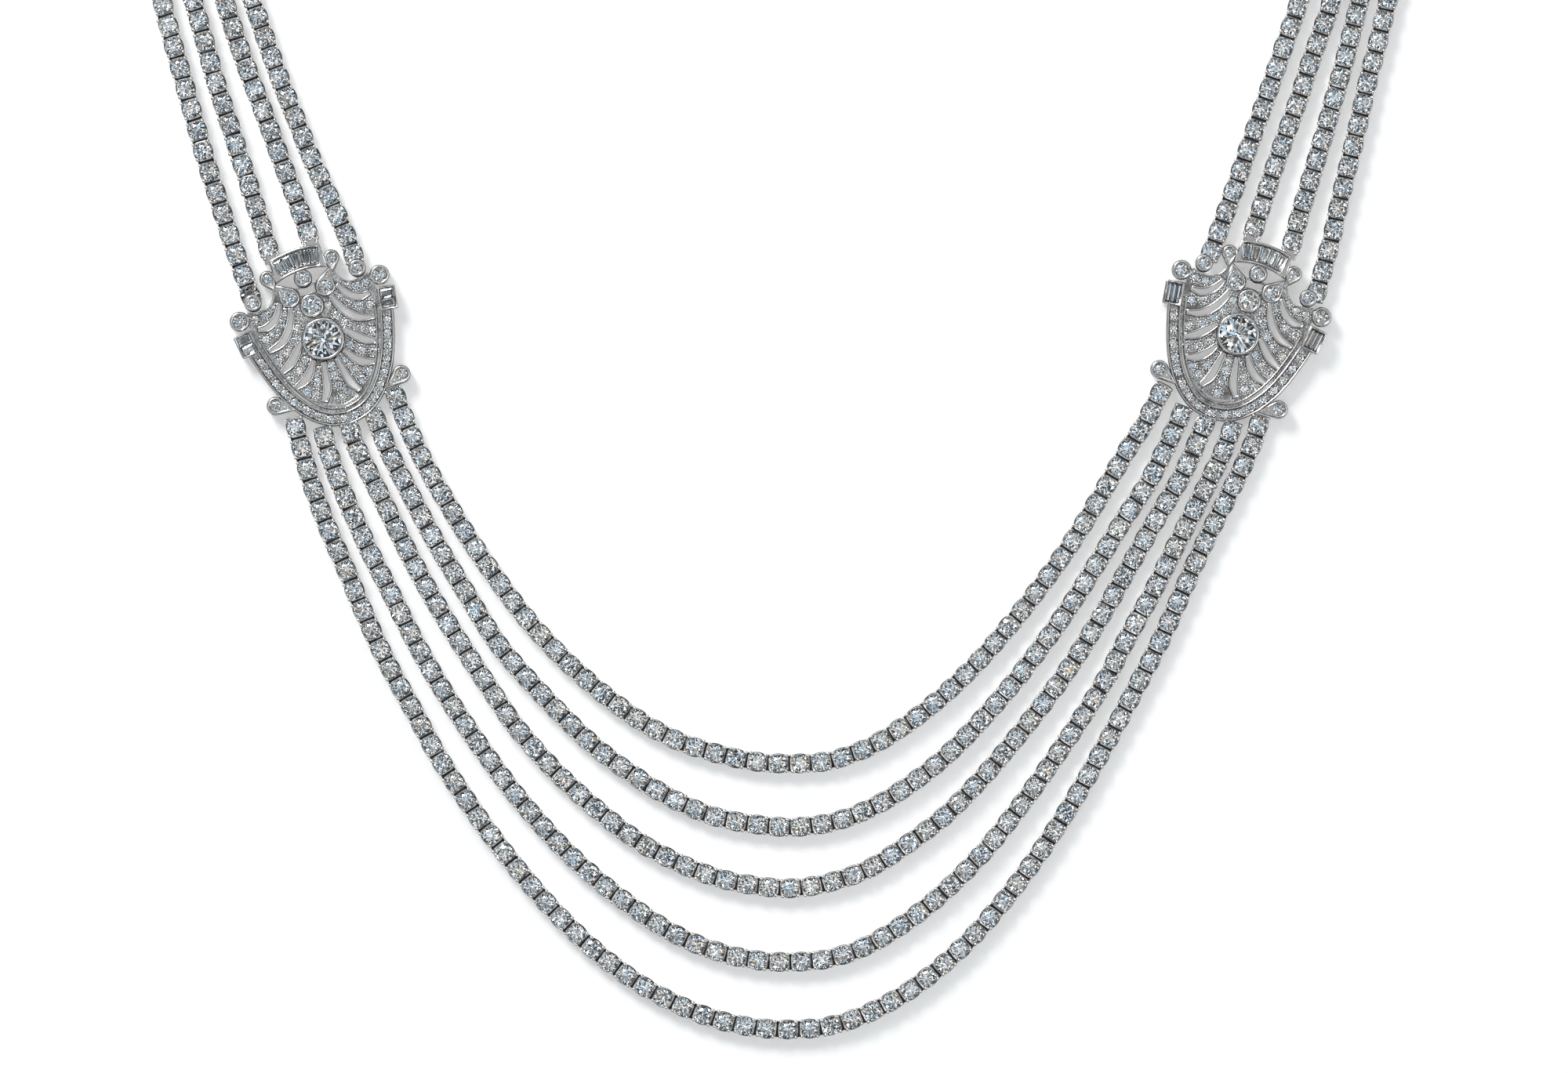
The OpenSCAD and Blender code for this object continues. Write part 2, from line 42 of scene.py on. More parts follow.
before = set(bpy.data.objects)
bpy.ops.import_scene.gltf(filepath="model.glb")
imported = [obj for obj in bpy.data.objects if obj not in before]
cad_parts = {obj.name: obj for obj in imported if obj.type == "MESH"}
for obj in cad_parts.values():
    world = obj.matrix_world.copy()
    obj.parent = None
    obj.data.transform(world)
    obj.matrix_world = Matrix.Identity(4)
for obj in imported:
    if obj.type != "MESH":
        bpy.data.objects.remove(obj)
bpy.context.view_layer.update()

import random
from math import acos, atan2, cos, pi, radians, sin

import bmesh
import bpy
from bpy.props import FloatProperty, FloatVectorProperty, IntProperty, PointerProperty
from bpy.types import Operator, Panel, PropertyGroup
from mathutils import Matrix, Vector

MM = 0.001
SIDES = ("left", "right")
# Steps that a smooth line takes from one of its points to the next.
SMOOTH = 6
# The middle of a rounding, as a share of its radius from either side.
ARC_MIDDLE = 0.29
# Least share by which a corner of a grown outline is divided, so that a sharp one doesn't run out.
MITRE_LEAST = 0.5
# Distance within which points count as one, upright share of a flat face, and how near a height a face lies.
DOUBLES = 0.0005
UPRIGHT = 0.999
SAME_HEIGHT = 0.03
# The halves of a plaque, and the side of its plan that each is on.
HALVES = (("outer", -1), ("inner", 1))

# Where each plaque's centre stone lies, in millimetres, and how far its top leans outwards, in degrees.
PLACE = {"left": (-57.5, -4.7), "right": (59.0, -4.1)}
LEAN = {"left": 18.6, "right": -18.7}
BORDER_COUNT = {"left": 18, "right": 17}

# Routes of the rows' centre lines in millimetres, each from the left or from the plaque's end.
FRONT_ROUTES = [
    [(-48.5, -11.4), (-45.4, -18.9), (-42.1, -24.9), (-38.4, -30.9), (-32.8, -38.8),
     (-27.8, -44.5), (-22.8, -49.1), (-17.8, -52.9), (-12.8, -55.7), (-7.8, -57.4),
     (-2.8, -58.5), (2.2, -58.8), (7.2, -58.4), (12.2, -56.6), (17.2, -53.5), (22.2, -49.5),
     (27.2, -44.4), (32.2, -38.4), (37.2, -31.6), (41.4, -24.9), (44.9, -18.9),
     (47.1, -15.5), (49.5, -10.9)],
    [(-51.1, -14.2), (-49.2, -18.9), (-46.2, -24.9), (-43.0, -30.9), (-39.4, -36.9),
     (-35.7, -42.9), (-32.8, -46.5), (-27.8, -51.9), (-22.8, -56.7), (-17.8, -60.4),
     (-12.8, -63.4), (-7.8, -65.5), (-2.8, -66.5), (2.2, -66.9), (7.2, -66.3), (12.2, -64.5),
     (17.2, -61.5), (22.2, -57.5), (27.2, -52.3), (32.2, -46.3), (37.2, -39.4),
     (40.7, -33.9), (44.4, -27.9), (48.2, -21.9), (52.1, -13.7)],
    [(-54.2, -15.8), (-53.1, -18.9), (-50.1, -24.9), (-47.2, -30.9), (-44.0, -36.9),
     (-40.4, -42.9), (-36.5, -48.9), (-32.8, -54.3), (-27.8, -59.9), (-22.8, -64.5),
     (-17.8, -68.4), (-12.8, -71.2), (-7.8, -73.2), (-2.8, -74.3), (2.2, -74.7), (7.2, -73.9),
     (12.2, -72.1), (17.2, -68.9), (22.2, -65.0), (27.2, -59.8), (32.2, -53.8),
     (37.2, -47.1), (41.7, -39.9), (45.1, -33.9), (48.5, -27.9), (52.0, -21.9),
     (55.1, -14.9)],
    [(-57.6, -16.4), (-55.9, -21.9), (-52.0, -30.9), (-49.0, -36.9), (-46.0, -42.9),
     (-42.6, -48.9), (-38.7, -54.9), (-35.3, -59.7), (-32.8, -63.0), (-27.8, -68.7),
     (-22.8, -73.4), (-17.8, -77.3), (-12.8, -80.5), (-7.8, -82.6), (-2.8, -83.8),
     (2.2, -84.1), (7.2, -83.6), (12.2, -81.8), (17.2, -78.7), (22.2, -74.6), (27.2, -69.4),
     (32.2, -63.0), (37.2, -55.9), (41.7, -48.9), (44.9, -42.9), (48.2, -36.9),
     (51.2, -30.9), (54.3, -24.9), (57.2, -18.9), (58.4, -15.7)],
    [(-61.2, -15.2), (-59.4, -21.9), (-57.3, -27.9), (-54.7, -33.9), (-52.2, -39.9),
     (-49.4, -45.9), (-46.1, -51.9), (-42.8, -58.0), (-37.8, -65.6), (-32.8, -72.2),
     (-27.8, -77.9), (-22.8, -82.7), (-17.8, -86.5), (-12.8, -89.3), (-7.8, -91.3),
     (-2.8, -92.4), (2.2, -92.7), (7.2, -92.2), (12.2, -90.5), (17.2, -87.7), (22.2, -83.8),
     (27.2, -78.7), (32.2, -72.4), (37.2, -65.0), (42.2, -56.4), (46.2, -48.9),
     (49.3, -42.9), (52.0, -36.9), (54.7, -30.9), (57.7, -24.9), (60.6, -18.9),
     (61.9, -14.9)],
]
# The side rows as far as they show, outer to inner, from the plaque upwards.
LEFT_SEEN = [
    [(-66.4, -0.3), (-69.3, 8.1), (-70.9, 13.1), (-72.5, 18.1), (-73.9, 23.1), (-75.3, 28.1),
     (-76.7, 33.1), (-78.0, 38.1), (-79.4, 44.0)],
    [(-64.2, 5.8), (-66.4, 13.1), (-68.0, 18.1), (-69.6, 23.1), (-71.2, 28.1), (-72.6, 33.1),
     (-74.0, 38.1), (-75.7, 43.8)],
    [(-59.1, 7.7), (-61.0, 13.1), (-62.9, 18.1), (-64.7, 23.1), (-66.6, 28.1), (-68.4, 33.1),
     (-70.0, 38.1), (-71.8, 43.6)],
    [(-53.3, 4.9), (-54.4, 8.1), (-56.6, 13.1), (-58.9, 18.1), (-60.9, 23.1), (-62.9, 28.1),
     (-64.7, 33.1), (-66.4, 38.1), (-68.0, 43.0)],
]
RIGHT_SEEN = [
    [(68.8, 0.1), (71.0, 8.1), (72.1, 13.1), (73.3, 18.1), (74.5, 23.1), (75.6, 28.1),
     (76.9, 33.1), (78.1, 38.1), (79.4, 44.0)],
    [(65.7, 6.5), (66.8, 10.6), (68.3, 15.6), (69.8, 20.6), (71.2, 25.6), (72.6, 30.6),
     (74.5, 38.1), (76.0, 43.8)],
    [(60.8, 8.3), (63.2, 15.6), (64.9, 20.6), (66.7, 25.6), (68.3, 30.6), (70.9, 38.1), (72.2, 43.6)],
    [(55.2, 5.3), (57.2, 10.6), (59.0, 15.6), (60.7, 20.6), (62.5, 25.6), (64.2, 30.6),
     (66.8, 38.1), (68.3, 43.0)],
]
# Their hidden stretch round to the clasp, on the right; the left mirrors it.
BACK = [
    [(80.3, 50.0), (79.5, 55.9), (77.2, 61.8), (73.4, 67.4), (68.1, 72.6), (61.5, 77.4), (53.7, 81.7),
     (44.9, 85.4), (35.2, 88.4), (24.8, 90.6), (13.9, 92.1), (4.9, 92.6)],
    [(76.6, 49.5), (75.7, 55.8), (72.9, 61.9), (68.3, 67.7), (62.0, 73.0), (54.2, 77.8), (45.0, 81.9),
     (34.8, 85.1), (23.7, 87.5), (12.0, 89.0), (4.9, 89.5)],
    [(72.7, 49.0), (71.6, 55.5), (68.3, 61.8), (63.0, 67.7), (55.7, 73.0), (46.7, 77.6), (36.4, 81.3),
     (24.9, 84.1), (12.6, 85.8), (4.9, 86.3)],
    [(68.9, 48.0), (67.9, 54.1), (64.7, 60.0), (59.7, 65.6), (52.8, 70.6), (44.3, 74.9), (34.5, 78.4),
     (23.6, 81.0), (12.0, 82.6), (4.9, 83.1)],
]
SIDE_ROUTES = {
    "left": [seen + [(-x, y) for x, y in back] for seen, back in zip(LEFT_SEEN, BACK)],
    "right": [seen + back for seen, back in zip(RIGHT_SEEN, BACK)],
}
# The side rows, counted from the outermost as 0, that end in a tab at the arch.
TO_ARCH = (1, 2)
# From a row's end to the middle of its last link, at the plaques' lower and upper ends.
FRONT_LEAD = 0.75
SIDE_LEAD = 1.25

# A quarter of a link's outline, from the middle of its end to the middle of its flank.
LINK_QUARTER = [(1.25, 0.0), (1.26, 0.55), (1.21, 0.86), (1.04, 1.01), (0.76, 1.06), (0.42, 1.16), (0.0, 1.2)]
# Heights of a link's foot, of the step where its lower wall, dark with painted shade, ends, and of its lip.
LINK_FOOT = 0.3
LINK_STEP = 1.0
LINK_LIP = 1.44
# How much higher the inner end of the step and of the lip lies.
LINK_SLOPE = 0.02
# The mouth and the foot of its conical seat, which is dark with painted shade, as radii, and the foot's
# height.
CUP_MOUTH = 1.16
CUP_FOOT = 0.3
CUP_LOW = 0.5
CLAW_CORNER = (0.99, 0.97)
CLAW_SIDES = 8
CLAW_PROFILE = [(0.0, 0.3), (0.2, 0.3), (0.3, 1.6), (0.26, 1.86), (0.13, 1.98), (0.0, 2.02)]
# Blocks: size, height of the foot and bevel.
KNUCKLE = ((0.9, 2.0, 0.95), 0.32, 0.12)
TAB = ((1.4, 1.9, 1.15), 0.4, 0.14)
TAB_CLAWS = (0.2, 0.78)
# How far a tab's middle lies before its row's end.
TAB_REACH = 0.3
# How far a wall's lower step, dark with painted shade, stands out from under its polished edge.
FOOT_STEP = 0.07
ROW_GIRDLE = 1.52

# The plaque's plan in millimetres, right half; the left half mirrors it.
PLATE_LOW = 0.6
PLATE_TOP = 1.8
# How far the plate runs in under the border, and the border's step in under the border.
PLATE_UNDER = 0.1
STEP_UNDER = 0.1
# Rounding of the parts' edges, as shares of that of the polished edges.
FAN_ROUND = 0.25
BORDER_ROUND = 0.4
COLLET_ROUND = 1.6
CHANNEL_ROUND = 2
# Rounding of the border's step, of a bezel's step and of a floor, in millimetres.
STEP_ROUND = 0.01
BEZEL_STEP_ROUND = 0.005
FLOOR_ROUND = 0.02
# Raised edges: top, foot inside the plate, and width.
EDGE_TOP = 2.05
EDGE_ROOT = PLATE_TOP - 0.1
EDGE_W = 0.22
# How much higher the inner rim and the lip stand.
RIM_RISE = 0.05
LIP_RISE = 0.02
# Dark lines of painted shade laid beside them: width, how far they run in under the edge, top, and rounding.
SHADE_LINE = 0.07
SHADE_LINE_UNDER = 0.04
SHADE_LINE_TOP = PLATE_TOP + 0.012
SHADE_LINE_ROUND = 0.001
BORDER_W = 1.65
BORDER_HALF = [(8.95, 1.9), (8.62, 0.2), (7.45, -3.5), (6.1, -6.3), (4.3, -8.6), (2.3, -10.0), (0.0, -10.5)]
BORDER_LEAD = 2.2
# Top of the border's outer step, dark with painted shade.
STEP_TOP = 1.5
# The raised inner rim, from the border's centre line inwards.
RIM = (1.28, 1.44)
NECK_EDGE = [(0.0, 7.3), (1.3, 7.3), (2.8, 7.6), (3.7, 8.6)]
SHOULDER_EDGE = [(4.15, 8.1), (4.35, 7.2), (5.0, 6.4), (6.0, 5.95), (7.1, 6.0), (8.1, 6.3)]
CORNER_EDGE = [(8.5, 5.4), (8.4, 4.0)]
SLOTS = [
    ([(3.95, 5.9), (4.5, 4.9), (5.3, 4.1), (6.3, 3.65), (7.3, 3.75)], [0.3, 0.6, 0.7, 0.65, 0.3]),
    ([(2.75, 4.9), (3.1, 3.8), (3.9, 2.4), (5.2, 1.2), (6.9, 0.7)], [0.3, 0.6, 0.75, 0.7, 0.3]),
    ([(3.0, 0.35), (3.8, -0.55), (4.9, -1.6), (6.2, -2.3)], [0.4, 0.7, 0.8, 0.4]),
    ([(2.15, -2.25), (2.9, -3.4), (3.9, -4.3), (5.2, -4.75)], [0.35, 0.7, 0.8, 0.35]),
    ([(0.95, -2.95), (1.2, -4.6), (1.55, -6.2), (2.3, -7.5)], [0.35, 0.65, 0.8, 0.4]),
]
SLIT = ([(6.15, -3.9), (5.4, -5.5), (4.2, -7.1), (2.6, -8.4)], [0.15, 0.32, 0.32, 0.15])
WINDOW = (1.05, 6.1, 7.0)
RIBS = [
    ([(4.95, 5.8), (5.9, 5.2), (7.4, 5.15)], 3),
    ([(3.5, 4.95), (4.3, 3.85), (5.4, 2.9), (7.0, 2.3)], 4),
    ([(1.95, 3.95), (2.5, 2.6), (3.4, 1.15), (4.7, -0.1), (6.3, -0.85)], 5),
    ([(3.0, -1.75), (4.1, -2.85), (5.6, -3.55)], 3),
    ([(1.75, -3.45), (2.4, -4.8), (3.1, -6.3)], 3),
    ([(4.15, -5.7)], 1),
]
# The way of the rib that has one stone.
SHORT_RIB_WAY = (0.6, -0.8)
MIDDLE_STONES = [(0.0, -3.5), (0.0, -4.75), (0.0, -6.15), (0.0, -7.8)]
PAVE_GIRDLE = 1.75
# The well of a small stone: how much wider than the stone its hole and its lining are, the metal left between
# two holes, the least hole that is cut, the height of the bottom, and the sides of the hole.
WELL_GAP = 0.08
LINING_GAP = 0.1
WELL_CLEAR = 0.09
WELL_LEAST = 0.2
WELL_FLOOR = 1.0
WELL_SIDES = 12
# Its lining, a dark sheet of painted shade: metal left beside a cut, foot, depth of the upper edge under the
# girdle, skin and sides.
LINING_CLEAR = 0.03
LINING_FOOT = 0.2
LINING_DEPTH = 0.1
LINING_SKIN = 0.05
LINING_SIDES = 10
# Grains about a small stone: how far along its rib and across it.
GRAIN_SPOTS = [
    (0.57, 0.32), (0.57, -0.32), (-0.57, 0.32), (-0.57, -0.32), (0.0, 0.66), (0.0, -0.66),
    (0.66, 0.0), (-0.66, 0.0), (0.34, 0.62), (0.34, -0.62), (-0.34, 0.62), (-0.34, -0.62),
]
# Least distances of a grain's middle from the next grain's, from a stone's middle and from a cut edge.
GRAIN_APART = 0.24
GRAIN_TO_STONE = 0.57
GRAIN_TO_EDGE = 0.1
GRAIN_PROFILE = [(0.0, -1.0), (1.0, -1.0), (0.95, 0.2), (0.6, 0.75), (0.0, 1.0)]
GRAIN_RISE = 0.08
GRAIN_SIDES = 8
# The smooth lip at the foot of the fan, right half, with its widths.
LIP = ([(0.0, -8.82), (1.1, -8.6), (2.0, -8.15)], [0.42, 0.4, 0.2])

# Collets: name, centre, stone radius, girdle height and the tip that the metal runs out to, or None.
COLLETS = [
    ("pear", (2.4, 6.3), 0.9, 2.05, (3.6, 8.45)),
    ("arch_collet", (4.3, 9.55), 0.6, 2.08, (3.85, 7.7)),
    ("shoulder", (9.4, 5.5), 0.85, 2.1, (8.0, 5.6)),
    ("row_collet", (7.0, 7.2), 0.7, 3.0, None),
    ("drop", (8.0, -7.4), 0.75, 2.0, (5.5, -8.5)),
]
# The left plaque's outer drop sits higher on the border.
LEFT_DROP = ("drop", (8.45, -6.15), 0.75, 2.0, (6.2, -7.4))
MIDDLE_COLLETS = [
    ("centre", (0.0, 0.0), 2.35, 2.65, None),
    ("upper", (0.0, 4.5), 1.15, 2.2, None),
    ("top", (0.0, 8.15), 0.75, 2.1, None),
]
# Those that stand high on a dark ring foot, and those that have a dark ring round them on the plate; both
# rings are painted shade.
STANDING = MIDDLE_COLLETS[2:] + COLLETS[3:4]
LINED = MIDDLE_COLLETS[1:2] + COLLETS[:1]
# How much wider than the setting the plate's hole is, for the centre stone and the upper stone.
HOLE_GAPS = (0.07, 0.0)
COLLET_WALL = 0.3
COLLET_LIP = 0.15
SEAT_GAP = 0.05
# The conical seat under a stone: its upper edge in from the stone and under the girdle, and its foot's share.
CONE_TOP = (0.06, 0.03)
CONE_FOOT = 0.25
# A round bezel's upper edge: each point's way in from the outer wall, or out from the stone, and its depth.
BEZEL_OUTER = [(0.0, 0.17), (0.04, 0.06), (0.13, 0.0)]
BEZEL_INNER = [(0.08, 0.01), (0.01, 0.05), (-0.04, 0.12)]
# How far under its top a bezel's lower step, dark with painted shade, ends.
BEZEL_STEP = 0.45
# How far before a long bezel's tip its sunk middle ends, and how much room a middle needs.
SUNK_END = 0.62
SUNK_LEAST = 0.25
# The beads in it: place along it, as a share.
SUNK_BEADS = (0.3, 0.75)
# A bead's radius at the start and how much it loses to the tip, and its sides.
BEAD_R = (0.2, 0.09)
BEAD_SIDES = 10
# A bead's shape: shares of its radius, and heights from the girdle.
BEAD_PROFILE = [(0.0, -0.2), (1.0, -0.2), (0.95, 0.0), (0.6, 0.08), (0.0, 0.11)]
# Growths from the stone's radius: the hole in the step that is dark with painted shade, a short bezel's hole,
# and a long bezel's sunk middle, the floor under it and the hole in that floor.
STEP_HOLE = 0.1
SHORT_HOLE = 0.02
SUNK_HOLE = 0.03
SUNK_FLOOR = 0.12
SUNK_FLOOR_HOLE = -0.03
# How far the sunk floor lies under the girdle, and how much of the middle's length the beads leave free.
SUNK_DEPTH = 0.08
BEAD_FREE = 0.2
# The tube under a tipped bezel's stone: growth of its radius, height over the foot, depth under the girdle.
TUBE = (0.1, 0.02, 0.13)
# Steps round a round bezel, a tipped one's stone, a hole that doesn't show, and a dark ring.
BEZEL_STEPS = 40
TIPPED_STEPS = 30
HIDDEN_STEPS = 24
RING_STEPS = 32
OVER_ROW = 2.12
# The post that carries a bezel over a row: place, radius, and height above the row's top.
POST = (7.0, 6.15)
POST_R = 0.5
POST_RISE = 0.5
POST_CORNER = 0.1
POST_SIDES = 16
# The ring foot under a bezel that stands high, a dark crescent of painted shadow: how far it leans forward.
FOOT_LEAN = 0.14
# Its width, and its depth under the girdle.
FOOT_RING = (0.12, 0.2)
# The dark ring of painted shade on the plate: how far it starts in from the wall, its width and its rise.
PLATE_RING = (0.05, 0.14, 0.02)

# Arched channel and end boxes.
ARCH_C = (0.0, -0.45)
ARCH_IN = 9.6
ARCH_OUT = 12.55
ARCH_HALF = 3.45
CHANNEL_IN = 10.0
CHANNEL_OUT = 12.15
CHANNEL_HALF_ANGLE = 14.6
CHANNEL_LOW = 0.3
CHANNEL_FLOOR = 1.3
CHANNEL_TOP = 2.4
CHANNEL_GIRDLE = 2.15
# How far a channel's floor, dark with painted shade, runs in under its walls, in millimetres and in degrees,
# and how far above the channel's foot it starts.
FLOOR_UNDER = 0.1
FLOOR_UNDER_ANGLE = 0.4
FLOOR_RISE = 0.1
ARCH_STONES = 5
ARCH_STONE_ANGLE = 5.9
ARCH_STONE = (1.06, 2.0)
ARCH_TAPER = 0.19
BOX_C = (9.45, 2.4)
BOX_SIZE = (2.5, 3.1)
BOX_LEAN = -8.0
BOX_CORNER = 0.25
BOX_CHANNEL = (1.82, 2.56)
# A box's baguettes on each plaque: size, step from one to the next, count.
BOX_STONES = {"left": ((1.7, 1.2), (0.0, 1.26), 2), "right": ((0.56, 2.44), (0.6, 0.0), 3)}

# The clasp's corners, their steps, and the rounding of its upper edge.
CLASP_CORNER = 1.5
CLASP_STEPS = 8
CLASP_ROUND = 0.35

# Proportions of a brilliant for a radius of 1.
TABLE_R = 0.56
CROWN = 0.32
PAVILION = 0.86
STAR_R = 0.78
LOWER_R = 0.22
GIRDLE_HALF = 0.015
# Faces that turn less than this many degrees from one to the next are one facet.
FACET_ANGLE = 0.6
# How far the stones lean at random, in radians.
ROW_LEAN = 0.03
SINGLE_LEAN = 0.02
SMALL_LEAN = 0.05
ARCH_LEAN = (0.03, 0.07)
BOX_ROLL = 0.04
BOX_NOD = (0.06, 0.12)
# The loops of a step cut: how far in from the girdle, and height. They lie closer on a stone narrower than
# STEP_FULL. The keel's length past the difference of the sides, and its height.
STEP_CUT = [(0.27, 0.15), (0.12, 0.09), (0.0, 0.015), (0.0, -0.015), (0.14, -0.18), (0.28, -0.31)]
STEP_FULL = 1.06
KEEL = (0.04, -0.42)

# The photograph's frame: its middle in millimetres and the width that it takes in.
VIEW_MIDDLE = (1.2, -29.85)
VIEW_WIDTH = 200.0

# Light from around: colours overhead and low down; scale, edge and seed of the panels that reflections show,
# with the strength of the dark and the bright ones; and the edge of the dark cap overhead with its strength.
ZENITH = (1.25, 1.27, 1.31)
HORIZON = (0.40, 0.41, 0.42)
PANEL_SCALE = 2.4
PANEL_EDGE = (0.525, 0.585)
PANEL_SEED = 2.6
PANEL_LIGHT = (0.06, 1.33)
CAP_EDGE = (0.985, 0.995)
CAP_LIGHT = 0.22
# Hues of the light that a stone splits, by their place in the noise, and the noise's scale.
FIRE_SCALE = 7.0
FIRE = [
    (0.36, (1.0, 0.72, 0.42)), (0.42, (1.0, 0.97, 0.92)),
    (0.58, (0.88, 0.95, 1.0)), (0.66, (0.35, 0.75, 1.0)),
]
# How each metal has worn: scale of the patches, roughness where bright and where dull, and depth of the
# scratches or grains in metres.
WEAR = {
    "White metal": (900.0, (0.15, 0.3), 0.000003),
    "Grained metal": (800.0, (0.16, 0.32), 0.00007),
    "Channel shade metal": (1500.0, (0.3, 0.5), 0.00002),
    "Painted shade metal": (1500.0, (0.35, 0.55), 0.00001),
}
# How much darker or paler some of them are than the white metal, where bright and where dull; the channel
# metal is darker as painted shade under the baguettes.
GRAINED_SHARES = (0.9, 0.35)
CHANNEL_SHADE_SHARES = (0.75, 0.5)
# How much paler the dark painted shade metal is where its patches are dull.
PAINTED_SHADE_SHARE = 1.6
# Patches of tint on the stones: scale, and where in the noise the warm, the clear and the cool ones lie.
TINT_SCALE = 500.0
TINT_STOPS = (0.36, 0.45, 0.62)
DIAMOND_IOR = 2.418
# The floor's fibres: scale, and the shade between them.
FIBRE_SCALE = 60.0
FIBRE_SHADE = 0.99
FLOOR_HALF = 1.5
# The camera's sensor in millimetres, and what it sees, in metres.
SENSOR = 36.0
CLIP = (0.05, 20.0)
# Lamps: place and size in metres.
KEY_LAMP = ((-0.60, 0.85, 0.80), (0.45, 0.45))
FILL_LAMP = ((0.75, -0.35, 0.55), (0.6, 0.3))


def length(name, description, default, least):
    """A setting for a length in metres."""
    return FloatProperty(name=name, description=description, default=default, min=least, unit="LENGTH")


def colour(name, description, default):
    """A setting for a colour."""
    return FloatVectorProperty(
        name=name, description=description, default=default, subtype="COLOR", min=0.0, max=1.0)


class NecklaceSizes(PropertyGroup):
    """Sizes of the repeated pieces."""

    link_pitch: length("Link Pitch", "Distance from one link of a row to the next", 0.00275, 0.002)
    row_stone_r: length("Row Stone Radius", "Radius of the round stones in the rows", 0.00114, 0.0005)
    pave_r: length("Small Stone Radius", "Radius of the stones of the fan and the border", 0.00053, 0.0002)
    bead_r: length("Grain Radius", "Radius of the grains that hold the small stones", 0.00015, 0.00005)
    edge_round: length("Edge Rounding", "Rounding of the polished edges", 0.00008, 0.00001)
    unrest: FloatProperty(
        name="Unrest", description="How far a link turns and tilts at random",
        default=radians(2.0), min=0.0, unit="ROTATION")
    seed: IntProperty(name="Seed", description="Start of the random draws", default=7)


class NecklaceFinishes(PropertyGroup):
    """Colours and finishes of the metal and the stones."""

    metal: colour("White Metal", "Colour of the polished white metal", (0.82, 0.82, 0.82))
    worn: colour("Worn Metal", "Colour where the polish has dulled", (0.66, 0.62, 0.59))
    # The near-black colour of the gaps, seats and hollows is painted shade.
    painted_shade: colour("Recess", "Colour of the painted shade in gaps and under stones", (0.035, 0.03, 0.028))
    stone: colour("Stone", "Colour of a stone", (0.96, 0.98, 1.0))
    stone_tint: colour("Stone Tint", "Colour that some stones lean to", (0.84, 0.92, 1.0))
    stone_warm: colour("Warm Stone", "Colour of the few stones that are a little yellow", (1.0, 0.98, 0.93))
    floor: colour("Floor", "Colour of the studio's floor", (0.80, 0.80, 0.80))
    floor_glow: FloatProperty(
        name="Floor Glow", description="Light that comes through the floor from below", default=0.32, min=0.0)


class NecklaceStudio(PropertyGroup):
    """Camera and light."""

    camera_height: length("Camera Height", "Height of the camera above the floor", 1.5, 0.2)
    key_power: FloatProperty(
        name="Key Light", description="Power of the main light", default=13.0, unit="POWER")
    fill_power: FloatProperty(
        name="Fill Light", description="Power of the side light", default=1.0, unit="POWER")


def smooth_line(points, steps=SMOOTH):
    """Points of the smooth curve through the given points, with so many steps to a span."""
    pts = [Vector(p) for p in points]
    last = len(pts) - 1
    line = []
    for i in range(last):
        a, b, c, d = pts[max(i - 1, 0)], pts[i], pts[i + 1], pts[min(i + 2, last)]
        for k in range(steps):
            u = k / steps
            bend = u * (3 * (b - c) + d - a)
            line.append(b + 0.5 * u * ((c - a) + u * ((2 * a - 5 * b + 4 * c - d) + bend)))
    return line + [pts[last]]


def smooth_values(values, steps=SMOOTH):
    """The same smoothing for a list of widths."""
    return [p.x for p in smooth_line([(v, 0.0) for v in values], steps)]


def heading(points, i):
    """Direction of a line of points at point i."""
    return (points[min(i + 1, len(points) - 1)] - points[max(i - 1, 0)]).normalized()


def beside(points, i, distance):
    """The place beside point i, to the left of the line's direction."""
    h = heading(points, i)
    return points[i] + distance * Vector((-h.y, h.x))


def mirrored(points):
    """The points' mirror image in reverse order, so that it carries on the outline."""
    return [Vector((-p.x, p.y)) for p in reversed([Vector(q) for q in points])]


def flipped(points):
    """The points' mirror image in the same order."""
    return [Vector((-p[0], p[1])) for p in points]


def line_length(line):
    """Length of a line of points."""
    return sum((line[i + 1] - line[i]).length for i in range(len(line) - 1))


def at_length(line, distance):
    """Point and direction at a distance along a line of points."""
    for i in range(len(line) - 1):
        step = line[i + 1] - line[i]
        if distance <= step.length or i == len(line) - 2:
            return line[i] + step.normalized() * distance, step.normalized()
        distance -= step.length


def spread(line, count, lead):
    """Even places along a line with their directions, lead away from both ends."""
    span = line_length(line) - 2 * lead
    return [at_length(line, lead + span * i / (count - 1)) for i in range(count)]


def disc(centre, r, count):
    """Outline of a circle."""
    c = Vector(centre)
    return [c + r * Vector((cos(2 * pi * i / count), sin(2 * pi * i / count))) for i in range(count)]


def teardrop(centre, r, tip, count=30):
    """Outline of a circle whose metal runs out to a tip."""
    c, t = Vector(centre), Vector(tip)
    away = t - c
    to_tip = atan2(away.y, away.x)
    gap = acos(r / away.length)
    turn = 2 * pi - 2 * gap
    return [t] + [
        c + r * Vector((cos(to_tip + gap + turn * i / count), sin(to_tip + gap + turn * i / count)))
        for i in range(count + 1)
    ]


def band(line, left, right):
    """Outline about a line of points, from one list of distances beside it to the other."""
    there = [beside(line, i, distance) for i, distance in enumerate(left)]
    back = [beside(line, i, distance) for i, distance in enumerate(right)]
    return there + back[::-1]


def strip(points, widths, extra=0.0):
    """Outline of a strip of varying width along a smooth line, grown by extra all round."""
    line = smooth_line(points)
    ends = (heading(line, 0) * extra, heading(line, len(line) - 1) * extra)
    line[0] = line[0] - ends[0]
    line[-1] = line[-1] + ends[1]
    wide = smooth_values(widths)
    return band(line, [w / 2 + extra for w in wide], [-w / 2 - extra for w in wide])


def rail(line, low, high):
    """Outline of a strip between two distances beside a line of points."""
    return band(line, [low] * len(line), [high] * len(line))


